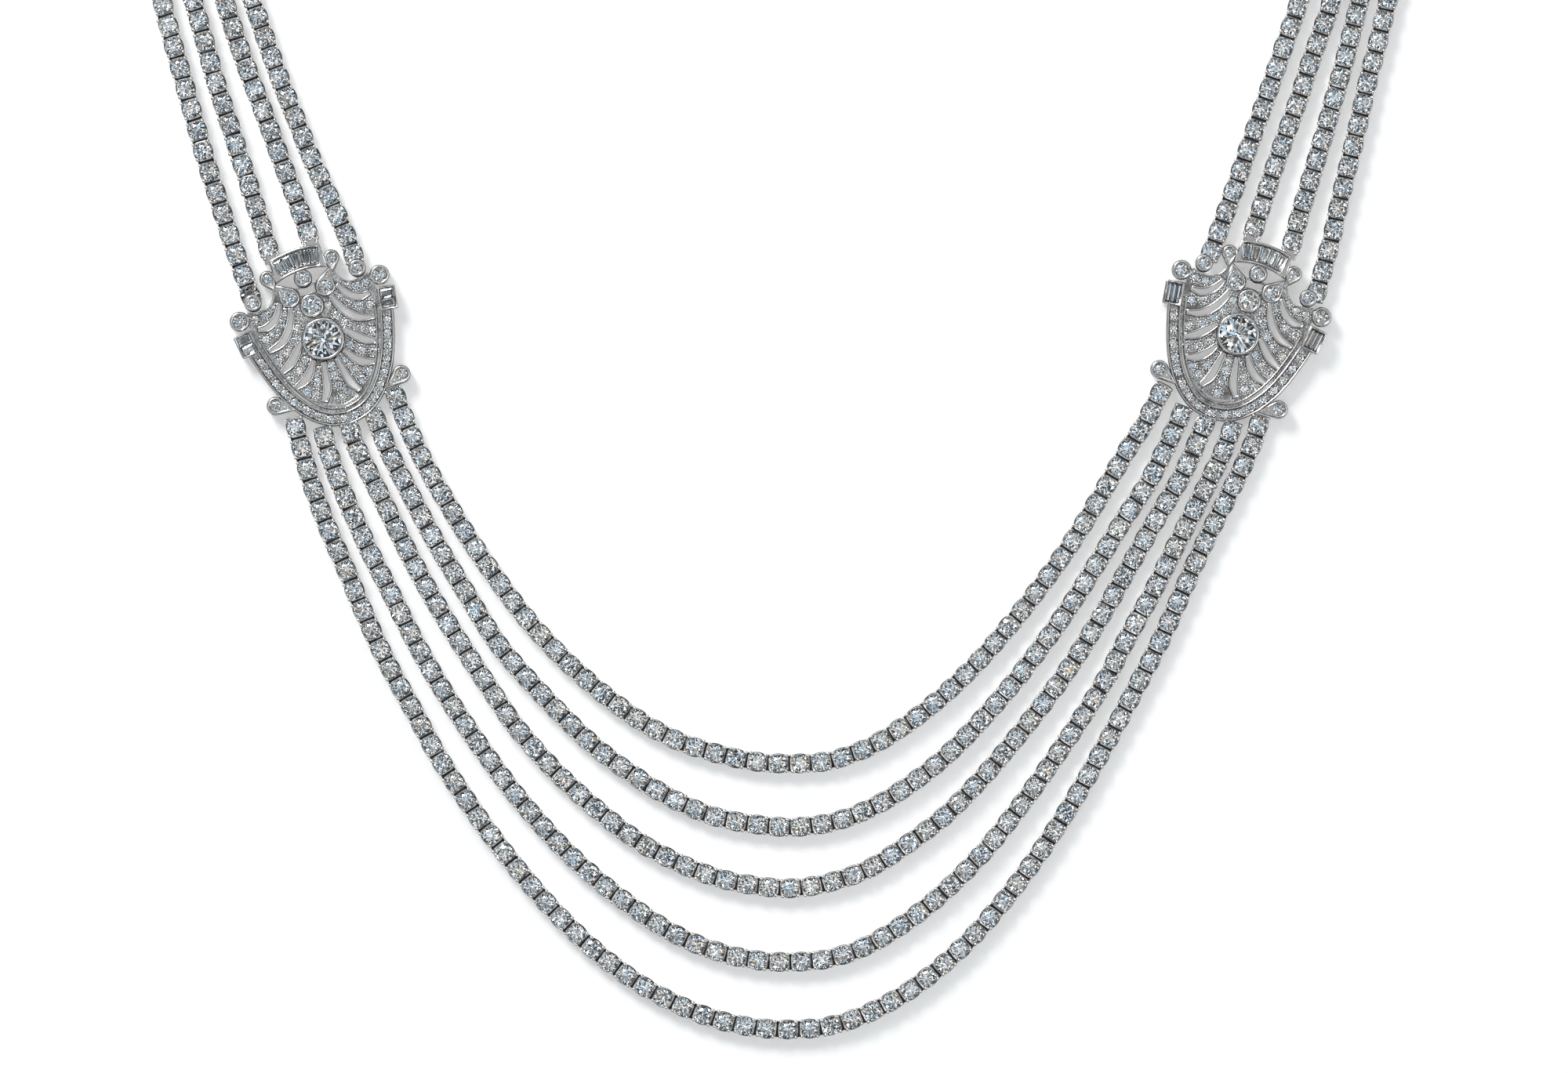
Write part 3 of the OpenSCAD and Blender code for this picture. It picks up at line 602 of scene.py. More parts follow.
def sector(inner, outer, half_angle, count=10):
    """Outline of a piece of a ring about the arch's middle."""
    angles = [radians(90 - half_angle + 2 * half_angle * i / count) for i in range(count + 1)]
    c = Vector(ARCH_C)
    return (
        [c + inner * Vector((cos(a), sin(a))) for a in angles]
        + [c + outer * Vector((cos(a), sin(a))) for a in reversed(angles)]
    )


def arch_outline(count=12):
    """Outline of the arch, whose ends are upright."""
    c = Vector(ARCH_C)
    xs = [-ARCH_HALF + 2 * ARCH_HALF * i / count for i in range(count + 1)]
    return (
        [c + Vector((x, (ARCH_IN ** 2 - x ** 2) ** 0.5)) for x in xs]
        + [c + Vector((x, (ARCH_OUT ** 2 - x ** 2) ** 0.5)) for x in reversed(xs)]
    )


def box_outline(w, l):
    """Outline of an upright rectangle about the origin."""
    return [Vector((sx * w / 2, sy * l / 2)) for sx, sy in ((-1, -1), (1, -1), (1, 1), (-1, 1))]


def turned(points, angle, centre):
    """Points turned about the origin by an angle in degrees, then set at a centre."""
    a = radians(angle)
    c = Vector(centre)
    return [c + Vector((p.x * cos(a) - p.y * sin(a), p.x * sin(a) + p.y * cos(a))) for p in points]


def rounded_box(w, l, r, count=3):
    """Outline of a rectangle with round corners about the origin."""
    out = []
    for sx, sy, start in ((1, 1, 0), (-1, 1, 90), (-1, -1, 180), (1, -1, 270)):
        c = Vector((sx * (w / 2 - r), sy * (l / 2 - r)))
        for k in range(count + 1):
            a = radians(start + 90 * k / count)
            out.append(c + r * Vector((cos(a), sin(a))))
    return out


def border_line(steps=8):
    """Centre line of the border, from the right end box round to the left one."""
    half = smooth_line(BORDER_HALF, steps)
    return half + mirrored(half)[1:]


def border_places(side):
    """Places and directions of a plaque's border stones."""
    return spread(border_line(), BORDER_COUNT[side], BORDER_LEAD)


def inner_rim():
    """Outline of the raised rim inside the border."""
    return rail(border_line(), -RIM[1], -RIM[0])


def fan_outline():
    """Outline of the fan plate, which runs just under the border."""
    top = [Vector(p) for p in NECK_EDGE] + smooth_line(SHOULDER_EDGE, 5) + [Vector(p) for p in CORNER_EDGE]
    line = border_line(5)
    low = [beside(line, i, PLATE_UNDER - BORDER_W / 2) for i in range(len(line))]
    return top + low + mirrored(top)[:-1]


def fan_places():
    """Places of the small stones in the right half of the fan, with the direction of their rib."""
    places = []
    for points, count in RIBS:
        if count == 1:
            places.append((Vector(points[0]), Vector(SHORT_RIB_WAY)))
        else:
            places += spread(smooth_line(points), count, 0.0)
    return places


def grown(points, distance):
    """A closed outline moved outwards by a distance, or inwards where it is negative."""
    count = len(points)
    area = sum(p.x * points[i - 1].y - points[i - 1].x * p.y for i, p in enumerate(points))
    side = 1.0 if area < 0 else -1.0
    out = []
    for i, p in enumerate(points):
        before = (p - points[i - 1]).normalized()
        after = (points[(i + 1) % count] - p).normalized()
        way = Vector((before.y + after.y, -before.x - after.x)).normalized()
        share = max(way.dot(Vector((after.y, -after.x))), MITRE_LEAST)
        out.append(p + way * (side * distance / share))
    return out


def loop_at(bm, points, z):
    """A closed loop of edges at a height."""
    verts = [bm.verts.new((p[0], p[1], z)) for p in points]
    return [bm.edges.new((v, verts[(i + 1) % len(verts)])) for i, v in enumerate(verts)]


def wall(bm, points, profile):
    """A wall round an outline, from a list of growths and heights. Returns its lowest and highest loop."""
    loops = [loop_at(bm, grown(points, growth) if growth else points, z) for growth, z in profile]
    for low, high in zip(loops, loops[1:]):
        bmesh.ops.bridge_loops(bm, edges=low + high)
    return loops[0], loops[-1]


def rounded_profile(low, high, rounding, way):
    """Growths and heights of a wall whose upper edge is rounded."""
    return [
        (0.0, low), (0.0, high - rounding), (ARC_MIDDLE * rounding * way, high - ARC_MIDDLE * rounding),
        (rounding * way, high),
    ]


def pierced_block(bm, outline, holes, low, high, rounding):
    """A flat block between two heights, cut through by the holes, with its upper edges rounded."""
    ends = [wall(bm, outline, rounded_profile(low, high, rounding, -1))]
    ends += [wall(bm, hole, rounded_profile(low, high, rounding, 1)) for hole in holes]
    for k in (0, 1):
        bmesh.ops.triangle_fill(bm, use_beauty=True, edges=[e for end in ends for e in end[k]])


def paint_shade(bm, start, z=None):
    """Gives the second, dark material to the faces from number start on, or to those of them at a height, as
    painted shade.
    """
    bm.faces.ensure_lookup_table()
    for face in bm.faces[start:]:
        if z is None or all(abs(v.co.z - z) < SAME_HEIGHT for v in face.verts):
            face.material_index = 1


def lathe(bm, profile, steps, place=(0.0, 0.0)):
    """A turned shape from a profile of radii and heights."""
    verts = [bm.verts.new((r, 0.0, z)) for r, z in profile]
    edges = [bm.edges.new(pair) for pair in zip(verts, verts[1:])]
    bmesh.ops.spin(
        bm, geom=verts + edges, cent=(0, 0, 0), axis=(0, 0, 1), angle=2 * pi, steps=steps, use_merge=True)
    found = set(verts)
    reach = list(verts)
    while reach:
        v = reach.pop()
        for e in v.link_edges:
            other = e.other_vert(v)
            if other not in found:
                found.add(other)
                reach.append(other)
    bmesh.ops.translate(bm, vec=(place[0], place[1], 0), verts=list(found))


def polish(bm, crease=50.0):
    """Joins doubles, turns the faces outwards and smooths the edges between curved faces."""
    bmesh.ops.remove_doubles(bm, verts=bm.verts, dist=DOUBLES)
    bmesh.ops.recalc_face_normals(bm, faces=bm.faces)
    for face in bm.faces:
        face.smooth = True
    for edge in bm.edges:
        flat = [abs(f.normal.z) > UPRIGHT for f in edge.link_faces]
        edge.smooth = edge.calc_face_angle(0.0) < radians(crease) and len(set(flat)) == 1


def at_spot(spot, turn, z=0.0):
    """The transform to a spot of the plan and a height, with a turn about the upright."""
    return Matrix.Translation((spot[0], spot[1], z)) @ Matrix.Rotation(turn, 4, "Z")


def placed(side):
    """The transform from a plaque's own plan to the frame."""
    place = at_spot(PLACE[side], radians(LEAN[side]))
    if side == "right":
        place = place @ Matrix.Scale(-1, 4, (1, 0, 0))
    return place


def piece(name, bm, materials, nodes, place=None):
    """Makes a finished piece of a mesh drawn in millimetres, and hides the nodes that it stands for."""
    place = place or Matrix.Identity(4)
    bm.transform(Matrix.Scale(MM, 4) @ place)
    if place.determinant() < 0:
        bmesh.ops.reverse_faces(bm, faces=bm.faces)
    mesh = bpy.data.meshes.new(name)
    bm.to_mesh(mesh)
    bm.free()
    for material in materials:
        mesh.materials.append(material)
    made = bpy.data.objects.new(name, mesh)
    bpy.context.scene.collection.objects.link(made)
    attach(made, "root")
    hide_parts(*nodes)


def frame_piece(side, name, bm, *materials):
    """A piece of a plaque's metal, which stands for its frame together with the others."""
    piece("%s_%s" % (side, name), bm, materials, [side + "_plaque_frame"], placed(side))


def stone_piece(side, node, name, stone, places):
    """Copies of a cut stone, which stand for a node of a plaque."""
    bm = bmesh.new()
    add_copies(bm, stone, places)
    piece(name, bm, [diamond()], [node], placed(side))


def add_copies(bm, source, places):
    """Adds a copy of a mesh for each transform."""
    for place in places:
        start = len(bm.verts)
        bm.from_mesh(source)
        bm.verts.ensure_lookup_table()
        bmesh.ops.transform(bm, matrix=place, verts=bm.verts[start:])


def shape(name, build, crease=50.0):
    """A mesh that add_copies repeats, drawn by a function."""
    if name in bpy.data.meshes:
        return bpy.data.meshes[name]
    bm = bmesh.new()
    build(bm)
    polish(bm, crease)
    mesh = bpy.data.meshes.new(name)
    bm.to_mesh(mesh)
    bm.free()
    return mesh


def cut_brilliant(bm):
    """A brilliant of radius 1 with its girdle at z = 0: the hull of its corners, with flat facets joined."""
    slope = CROWN / (1 - TABLE_R)
    half = pi / 8
    star_z = CROWN - slope * (STAR_R * cos(half) - TABLE_R) + GIRDLE_HALF
    lower_z = -PAVILION + (PAVILION - GIRDLE_HALF) * LOWER_R * cos(half)
    rings = [
        (8, TABLE_R, CROWN + GIRDLE_HALF, 0.0), (8, STAR_R, star_z, half), (16, 1.0, GIRDLE_HALF, 0.0),
        (16, 1.0, -GIRDLE_HALF, 0.0), (8, LOWER_R, lower_z, half),
    ]
    for count, r, z, turn in rings:
        for i in range(count):
            a = turn + 2 * pi * i / count
            bm.verts.new((r * cos(a), r * sin(a), z))
    bm.verts.new((0, 0, -PAVILION))
    bmesh.ops.convex_hull(bm, input=bm.verts)
    bmesh.ops.dissolve_limit(bm, angle_limit=radians(FACET_ANGLE), verts=bm.verts, edges=bm.edges)


def cut_steps(w, l, taper=0.0):
    """A function that draws a step-cut stone with its girdle at z = 0, wider at +y by a taper."""
    short = min(w, l)
    share = min(1.0, short / STEP_FULL)

    def build(bm):
        loops = []
        for inset, z in STEP_CUT:
            less = 2 * inset * share
            loops.append(loop_at(bm, box_outline(w - less, l - less), z))
        loops.append(loop_at(bm, box_outline(w - short + KEEL[0], l - short + KEEL[0]), KEEL[1]))
        for high, low in zip(loops, loops[1:]):
            bmesh.ops.bridge_loops(bm, edges=high + low)
        bmesh.ops.triangle_fill(bm, edges=loops[0])
        bmesh.ops.triangle_fill(bm, edges=loops[-1])
        for v in bm.verts:
            v.co.x *= 1.0 + taper * v.co.y / l
        bmesh.ops.dissolve_limit(bm, angle_limit=radians(FACET_ANGLE), verts=bm.verts, edges=bm.edges)
    return build


def stone_mesh():
    """The brilliant that every round stone repeats."""
    mesh = shape("Brilliant", cut_brilliant, 0.0)
    mesh.shade_flat()
    return mesh


def lean(draw, amount):
    """A random tilt about both axes of the plan."""
    return draw.gauss(0, amount), draw.gauss(0, amount)


def stone_at(x, y, girdle, r, turn, tilt):
    """The place of a stone of radius r."""
    leaning = Matrix.Rotation(tilt[0], 4, "X") @ Matrix.Rotation(tilt[1], 4, "Y")
    return Matrix.Translation((x, y, girdle)) @ leaning @ Matrix.Rotation(turn, 4, "Z") @ Matrix.Scale(r, 4)


def draw_link(bm):
    """One link: a scalloped cup with a conical seat, and four claws; its lower wall and its seat are dark
    with painted shade.
    """
    quarter = [Vector(p) for p in LINK_QUARTER]
    half = quarter + [Vector((-p.x, p.y)) for p in reversed(quarter[:-1])]
    outline = half + [Vector((p.x, -p.y)) for p in reversed(half[1:-1])]
    seat = [Vector((cos(atan2(p.y, p.x)), sin(atan2(p.y, p.x)))) for p in outline]
    wide = [p + FOOT_STEP * p.normalized() for p in outline]
    loops = [
        loop_at(bm, wide, LINK_FOOT), loop_at(bm, wide, LINK_STEP),
        loop_at(bm, outline, LINK_STEP + LINK_SLOPE), loop_at(bm, outline, LINK_LIP),
        loop_at(bm, [CUP_MOUTH * p for p in seat], LINK_LIP + LINK_SLOPE),
        loop_at(bm, [CUP_FOOT * p for p in seat], CUP_LOW),
    ]
    # The lower wall and the seat take the dark metal as painted shade.
    dark = [False, True, False, False, True]
    for a, b, is_dark in zip(loops, loops[1:], dark):
        made = bmesh.ops.bridge_loops(bm, edges=a + b)
        for face in made["faces"]:
            face.material_index = int(is_dark)
    bmesh.ops.edgeloop_fill(bm, edges=loops[0])
    bmesh.ops.edgeloop_fill(bm, edges=loops[-1])
    for sx in (-1, 1):
        for sy in (-1, 1):
            lathe(bm, CLAW_PROFILE, CLAW_SIDES, (sx * CLAW_CORNER[0], sy * CLAW_CORNER[1]))


def draw_block(bm, size, foot):
    """A box of a size that stands at a height."""
    bmesh.ops.create_cube(bm, size=1.0)
    bmesh.ops.scale(bm, vec=size, verts=bm.verts)
    bmesh.ops.translate(bm, vec=(0, 0, foot + size[2] / 2), verts=bm.verts)


def bevel(bm, edges, offset, segments):
    """Bevels edges by an offset."""
    bmesh.ops.bevel(
        bm, geom=edges, offset=offset, offset_type="OFFSET", segments=segments, profile=0.5, affect="EDGES",
        material=-1)


def draw_knuckle(bm):
    """The hinge between two links, below their lips, with its long edges bevelled; its dark colour is painted
    shade in the gap.
    """
    size, foot, offset = KNUCKLE
    draw_block(bm, size, foot)
    bevel(bm, [e for e in bm.edges if abs(e.verts[0].co.y - e.verts[1].co.y) > size[1] / 2], offset, 1)


def draw_tab(bm):
    """The plate with two claws that joins a row's last link to the arch."""
    size, foot, offset = TAB
    draw_block(bm, size, foot)
    bevel(bm, bm.edges[:], offset, 2)
    for sy in (-1, 1):
        lathe(bm, CLAW_PROFILE, CLAW_SIDES, (TAB_CLAWS[0], sy * TAB_CLAWS[1]))


def link_places(line, lead, pitch, unrest, draw):
    """Transforms of a row's links, and of the hinges between them."""
    span = line_length(line) - 2 * lead
    count = round(span / pitch) + 1
    links = []
    spots = []
    for i in range(count):
        spot, way = at_length(line, lead + span * i / (count - 1))
        spots.append(spot)
        turn, roll, nod = [draw.gauss(0, unrest) for _ in range(3)]
        links.append(
            at_spot(spot, atan2(way.y, way.x) + turn) @ Matrix.Translation((0, 0, 1))
            @ Matrix.Rotation(roll, 4, "X") @ Matrix.Rotation(nod, 4, "Y") @ Matrix.Translation((0, 0, -1)))
    hinges = [at_spot((a + b) / 2, atan2((b - a).y, (b - a).x)) for a, b in zip(spots, spots[1:])]
    return links, hinges


def make_row(name, route, lead, sizes, draw, to_arch=False):
    """Makes a row's links and its stones, which stand for the row's plain bar."""
    line = smooth_line(route)
    places, hinges = link_places(line, lead, sizes.link_pitch / MM, sizes.unrest, draw)
    bm = bmesh.new()
    add_copies(bm, shape("Link", draw_link), places)
    if to_arch:
        end, way = at_length(line, 0.0)
        add_copies(bm, shape("Tab", draw_tab), [at_spot(end - TAB_REACH * way, atan2(way.y, way.x))])
    # The hinges take the dark metal as painted shade in the gaps between the links.
    start = len(bm.faces)
    add_copies(bm, shape("Knuckle", draw_knuckle), hinges)
    paint_shade(bm, start)
    piece(name + "_links", bm, [white_metal(), painted_shade_metal()], [name])
    bm = bmesh.new()
    r = sizes.row_stone_r / MM
    add_copies(bm, stone_mesh(), [
        p @ stone_at(0, 0, ROW_GIRDLE, r, draw.uniform(0, pi / 4), lean(draw, ROW_LEAN))
        for p in places])
    piece(name + "_stones", bm, [diamond()], [name])


def gap_to(place, loops):
    """Distance from a place to the nearest of some closed outlines."""
    near = 99.0
    for points in loops:
        for i, b in enumerate(points):
            a = points[i - 1]
            along = b - a
            t = max(0.0, min(1.0, (place - a).dot(along) / max(along.length_squared, 1e-9)))
            near = min(near, (place - a - t * along).length)
    return near


def half_collets(side, sx):
    """The collets of a plaque's outer half, at -X, or of its inner half."""
    low_drop = side == "left" and sx < 0
    return [LEFT_DROP if low_drop and c[0] == LEFT_DROP[0] else c for c in COLLETS]


def inside(place, points):
    """Whether a place lies within a closed outline."""
    within = False
    for i, b in enumerate(points):
        a = points[i - 1]
        if (a.y > place.y) != (b.y > place.y):
            if place.x < a.x + (place.y - a.y) * (b.x - a.x) / (b.y - a.y):
                within = not within
    return within


def both(points):
    """An outline and its mirror image."""
    return [list(points), flipped(points)]


def fan_holes():
    """Outlines of the slots and settings that are cut through the fan plate."""
    holes = []
    for points, widths in SLOTS + [SLIT]:
        holes += both(strip(points, widths))
    wide, low, high = WINDOW
    holes.append([Vector(p) for p in ((-wide, low), (wide, low), (wide, high), (-wide, high))])
    for (_, centre, r, _, _), gap in zip(MIDDLE_COLLETS, HOLE_GAPS):
        holes.append(disc(centre, r + SEAT_GAP + COLLET_WALL + gap, 40))
    return holes + both(disc(COLLETS[0][1], COLLETS[0][2], 24))


def all_fan_places():
    """Places of all the small stones of the fan, right half, left half and middle."""
    places = [p for p, _ in fan_places()]
    return places + flipped(places) + [Vector(p) for p in MIDDLE_STONES]


def plate_holes(pave_r):
    """Outlines of everything that is cut through the fan plate, the wells of its small stones included."""
    holes = fan_holes()
    edge = fan_outline()
    for place in all_fan_places():
        r = min(pave_r + WELL_GAP, gap_to(place, holes + [edge]) - WELL_CLEAR)
        if r > WELL_LEAST:
            holes.append(disc(place, r, WELL_SIDES))
    return holes


def make_wells(side, sizes):
    """The conical wells under the small stones, dark with painted shade."""
    r = sizes.pave_r / MM + LINING_GAP
    cuts = fan_holes() + [fan_outline()]
    places = [(p, min(1.0, (gap_to(p, cuts) - LINING_CLEAR) / r)) for p in all_fan_places()]
    places += [(p, 1.0) for p, _ in border_places(side)]
    cone = [
        (0.0, WELL_FLOOR), (LINING_FOOT, WELL_FLOOR), (r, PAVE_GIRDLE - LINING_DEPTH), (r, WELL_FLOOR),
        (0.0, WELL_FLOOR - LINING_SKIN),
    ]
    bm = bmesh.new()
    add_copies(bm, shape("Well", lambda bm: lathe(bm, cone, LINING_SIDES)), [
        Matrix.Translation((p.x, p.y, 0)) @ Matrix.Diagonal((share, share, 1.0, 1.0)) for p, share in places])
    frame_piece(side, "wells", bm, painted_shade_metal())


def make_fan(side, sizes):
    """The pierced fan plate with the polished edges of its slots."""
    rounding = sizes.edge_round / MM
    bm = bmesh.new()
    holes = plate_holes(sizes.pave_r / MM)
    pierced_block(bm, fan_outline(), holes, PLATE_LOW, PLATE_TOP, rounding * FAN_ROUND)
    polish(bm)
    frame_piece(side, "fan_plate", bm, grained_metal())
    bm = bmesh.new()
    for points, widths in SLOTS:
        for outer, inner in zip(both(strip(points, widths, EDGE_W)), both(strip(points, widths))):
            pierced_block(bm, outer, [inner], EDGE_ROOT, EDGE_TOP, rounding)
    for outline in both(rail(smooth_line(SHOULDER_EDGE), -EDGE_W, 0.0)):
        pierced_block(bm, outline, [], EDGE_ROOT, EDGE_TOP, rounding)
    pierced_block(bm, inner_rim(), [], EDGE_ROOT, EDGE_TOP + RIM_RISE, rounding)
    line = smooth_line(LIP[0])
    widths = smooth_values(LIP[1])
    widths = widths[:0:-1] + widths
    lip = band(flipped(line[:0:-1]) + line, [w / 2 for w in widths], [-w / 2 for w in widths])
    pierced_block(bm, lip, [], EDGE_ROOT, EDGE_TOP + LIP_RISE, rounding)
    polish(bm)
    frame_piece(side, "slot_edges", bm, white_metal())


def make_painted_shade_lines(side):
    """Dark strips of painted shade beside the raised edges of the slots, the inner rim and the border."""
    bm = bmesh.new()
    for points, widths in SLOTS:
        outers = both(strip(points, widths, EDGE_W + SHADE_LINE))
        for outer, inner in zip(outers, both(strip(points, widths, EDGE_W - SHADE_LINE_UNDER))):
            pierced_block(bm, outer, [inner], EDGE_ROOT, SHADE_LINE_TOP, SHADE_LINE_ROUND)
    inset = BORDER_W / 2 - EDGE_W
    for low, high in (
            (inset - SHADE_LINE, inset + SHADE_LINE_UNDER), (-inset - SHADE_LINE_UNDER, SHADE_LINE - inset),
            (SHADE_LINE_UNDER - RIM[0], SHADE_LINE - RIM[0] + SHADE_LINE_UNDER)):
        pierced_block(bm, rail(border_line(), low, high), [], EDGE_ROOT, SHADE_LINE_TOP, SHADE_LINE_ROUND)
    polish(bm)
    frame_piece(side, "painted_shade_lines", bm, painted_shade_metal())


def make_border(side, sizes):
    """The stone-set border with its outer step, dark with painted shade, and its two polished edges."""
    rounding = sizes.edge_round / MM
    line = border_line()
    half = BORDER_W / 2
    bm = bmesh.new()
    wells = [disc(p, sizes.pave_r / MM + WELL_GAP, WELL_SIDES) for p, _ in border_places(side)]
    pierced_block(bm, rail(line, -half, half), wells, 0.0, PLATE_TOP, rounding * BORDER_ROUND)
    # The outer step's top takes the dark metal as painted shade.
    start = len(bm.faces)
    pierced_block(bm, rail(line, half - STEP_UNDER, half + FOOT_STEP), [], 0.0, STEP_TOP, STEP_ROUND)
    paint_shade(bm, start, STEP_TOP)
    polish(bm)
    frame_piece(side, "border", bm, grained_metal(), painted_shade_metal())
    bm = bmesh.new()
    for low, high in ((half - EDGE_W, half), (-half, EDGE_W - half)):
        pierced_block(bm, rail(line, low, high), [], EDGE_ROOT, EDGE_TOP, rounding)
    polish(bm)
    frame_piece(side, "border_edges", bm, white_metal())


def collet(bm, centre, r, girdle, low, tip, rounding):
    """A thick-walled setting with a conical seat, round or running out to a tip, on a lower step dark with
    painted shade.
    """
    outer = r + SEAT_GAP + COLLET_WALL
    top = girdle + COLLET_LIP
    floor = girdle - PAVILION * r - SEAT_GAP
    cone = [(r - CONE_TOP[0], girdle - CONE_TOP[1]), (CONE_FOOT * r, floor), (0.0, floor)]
    step = top - BEZEL_STEP
    start = len(bm.faces)
    if tip is None:
        foot = [(0.0, low), (outer + FOOT_STEP, low), (outer + FOOT_STEP, step), (outer, step + 0.01)]
        rim = [(outer - way, top - depth) for way, depth in BEZEL_OUTER]
        rim += [(r + way, top - depth) for way, depth in BEZEL_INNER]
        lathe(bm, foot + rim + cone, BEZEL_STEPS, centre)
        paint_shade(bm, start, step)
        return
    edge = teardrop(centre, outer, tip)
    hole = disc(centre, r + STEP_HOLE, HIDDEN_STEPS)
    pierced_block(bm, grown(edge, FOOT_STEP), [hole], low, step, BEZEL_STEP_ROUND)
    paint_shade(bm, start, step)
    way = Vector(tip) - Vector(centre)
    reach = way.length - SUNK_END
    if reach < r + SUNK_LEAST:
        pierced_block(bm, edge, [disc(centre, r + SHORT_HOLE, TIPPED_STEPS)], low, top, rounding)
    else:
        sunk = Vector(centre) + way.normalized() * reach
        pierced_block(bm, edge, [teardrop(centre, r + SUNK_HOLE, sunk)], low, top, rounding)
        floor_edge = teardrop(centre, r + SUNK_FLOOR, sunk)
        hole = disc(centre, r + SUNK_FLOOR_HOLE, TIPPED_STEPS)
        pierced_block(bm, floor_edge, [hole], low, girdle - SUNK_DEPTH, FLOOR_ROUND)
        for share in SUNK_BEADS:
            spot = Vector(centre) + way.normalized() * (r + SUNK_FLOOR + share * (reach - r - BEAD_FREE))
            bead = BEAD_R[0] - BEAD_R[1] * share
            lathe(bm, [(wide * bead, girdle + rise) for wide, rise in BEAD_PROFILE], BEAD_SIDES, spot)
    growth, rise, depth = TUBE
    tube = [(0.0, low + rise), (r + growth, low + rise), (r + growth, girdle - depth)]
    lathe(bm, tube + cone, TIPPED_STEPS, centre)


def sides_of(centre):
    """A place of the right half and its mirror image, or the place alone where it is on the middle line."""
    x, y = centre
    return [(x, y), (-x, y)] if x else [(x, y)]


def make_collets(side, sizes):
    """The settings of the single stones, the posts of the two over the rows, and dark rings of painted shade
    under some.
    """
    rounding = sizes.edge_round / MM * COLLET_ROUND
    bm = bmesh.new()
    rings = bmesh.new()
    for name, centre, r, girdle, tip in MIDDLE_COLLETS:
        collet(bm, centre, r, girdle, 0.0 if name == "centre" else PLATE_LOW, tip, rounding)
    width, depth = FOOT_RING
    for name, centre, r, girdle, _ in STANDING:
        low = OVER_ROW if name == "row_collet" else PLATE_LOW
        outer = r + SEAT_GAP + COLLET_WALL
        foot = [(outer - width, low), (outer, low), (outer, girdle - depth), (outer - width, girdle - depth)]
        for x, y in sides_of(centre):
            lathe(rings, foot + foot[:1], RING_STEPS, (x, y - FOOT_LEAN))
    for sx in (1, -1):
        for name, (x, y), r, girdle, tip in half_collets(side, sx):
            low = OVER_ROW if name == "row_collet" else PLATE_LOW
            collet(bm, (sx * x, y), r, girdle, low, tip and (sx * tip[0], tip[1]), rounding)
        top = OVER_ROW + POST_RISE
        post = [
            (0.0, PLATE_LOW), (POST_R, PLATE_LOW), (POST_R, top - POST_CORNER), (POST_R - POST_CORNER, top),
            (0.0, top),
        ]
        lathe(bm, post, POST_SIDES, (sx * POST[0], POST[1]))
    start, width, rise = PLATE_RING
    for _, centre, r, _, _ in LINED:
        inner = r + SEAT_GAP + COLLET_WALL - start
        top = PLATE_TOP + rise
        line = [(inner, EDGE_ROOT), (inner + width, EDGE_ROOT), (inner + width, top), (inner, top)]
        for place in sides_of(centre):
            lathe(rings, line, RING_STEPS, place)
    # The rings are dark metal, painted shade under and round the collets.
    polish(rings)
    frame_piece(side, "painted_shade_rings", rings, painted_shade_metal())
    polish(bm)
    frame_piece(side, "collets", bm, white_metal(), painted_shade_metal())


def make_channels(side, sizes):
    """The arched channel and the two end boxes, each with a floor under its baguettes that is dark with
    painted shade.
    """
    rounding = sizes.edge_round / MM * CHANNEL_ROUND
    boxes = [((sx * BOX_C[0], BOX_C[1]), sx * BOX_LEAN) for sx in (1, -1)]
    bm = bmesh.new()
    pierced_block(
        bm, arch_outline(), [sector(CHANNEL_IN, CHANNEL_OUT, CHANNEL_HALF_ANGLE)], CHANNEL_LOW, CHANNEL_TOP,
        rounding)
    for centre, angle in boxes:
        outer = turned(rounded_box(BOX_SIZE[0], BOX_SIZE[1], BOX_CORNER), angle, centre)
        inner = turned(box_outline(*BOX_CHANNEL), angle, centre)
        pierced_block(bm, outer, [inner], CHANNEL_LOW, CHANNEL_TOP, rounding)
    start = len(bm.faces)
    low, high = CHANNEL_IN - FLOOR_UNDER, CHANNEL_OUT + FLOOR_UNDER
    w, l = BOX_CHANNEL
    box_floor = box_outline(w + 2 * FLOOR_UNDER, l + 2 * FLOOR_UNDER)
    floors = [sector(low, high, CHANNEL_HALF_ANGLE + FLOOR_UNDER_ANGLE)]
    floors += [turned(box_floor, angle, centre) for centre, angle in boxes]
    for outline in floors:
        pierced_block(bm, outline, [], CHANNEL_LOW + FLOOR_RISE, CHANNEL_FLOOR, FLOOR_ROUND)
    paint_shade(bm, start)
    polish(bm)
    frame_piece(side, "channels", bm, white_metal(), channel_shade_metal())


def grain_places(places, holes, edge):
    """Places of the grains round small stones, clear of the holes and of the metal's edge."""
    grains = []
    for p, way in places:
        across = Vector((-way.y, way.x))
        for along, aside in GRAIN_SPOTS:
            spot = p + way * along + across * aside
            apart = all((spot - g).length > GRAIN_APART for g in grains)
            free = all((spot - q).length > GRAIN_TO_STONE for q, _ in places)
            clear = gap_to(spot, holes + [edge]) > GRAIN_TO_EDGE and inside(spot, edge)
            if apart and free and clear and not any(inside(spot, hole) for hole in holes):
                grains.append(spot)
    return grains


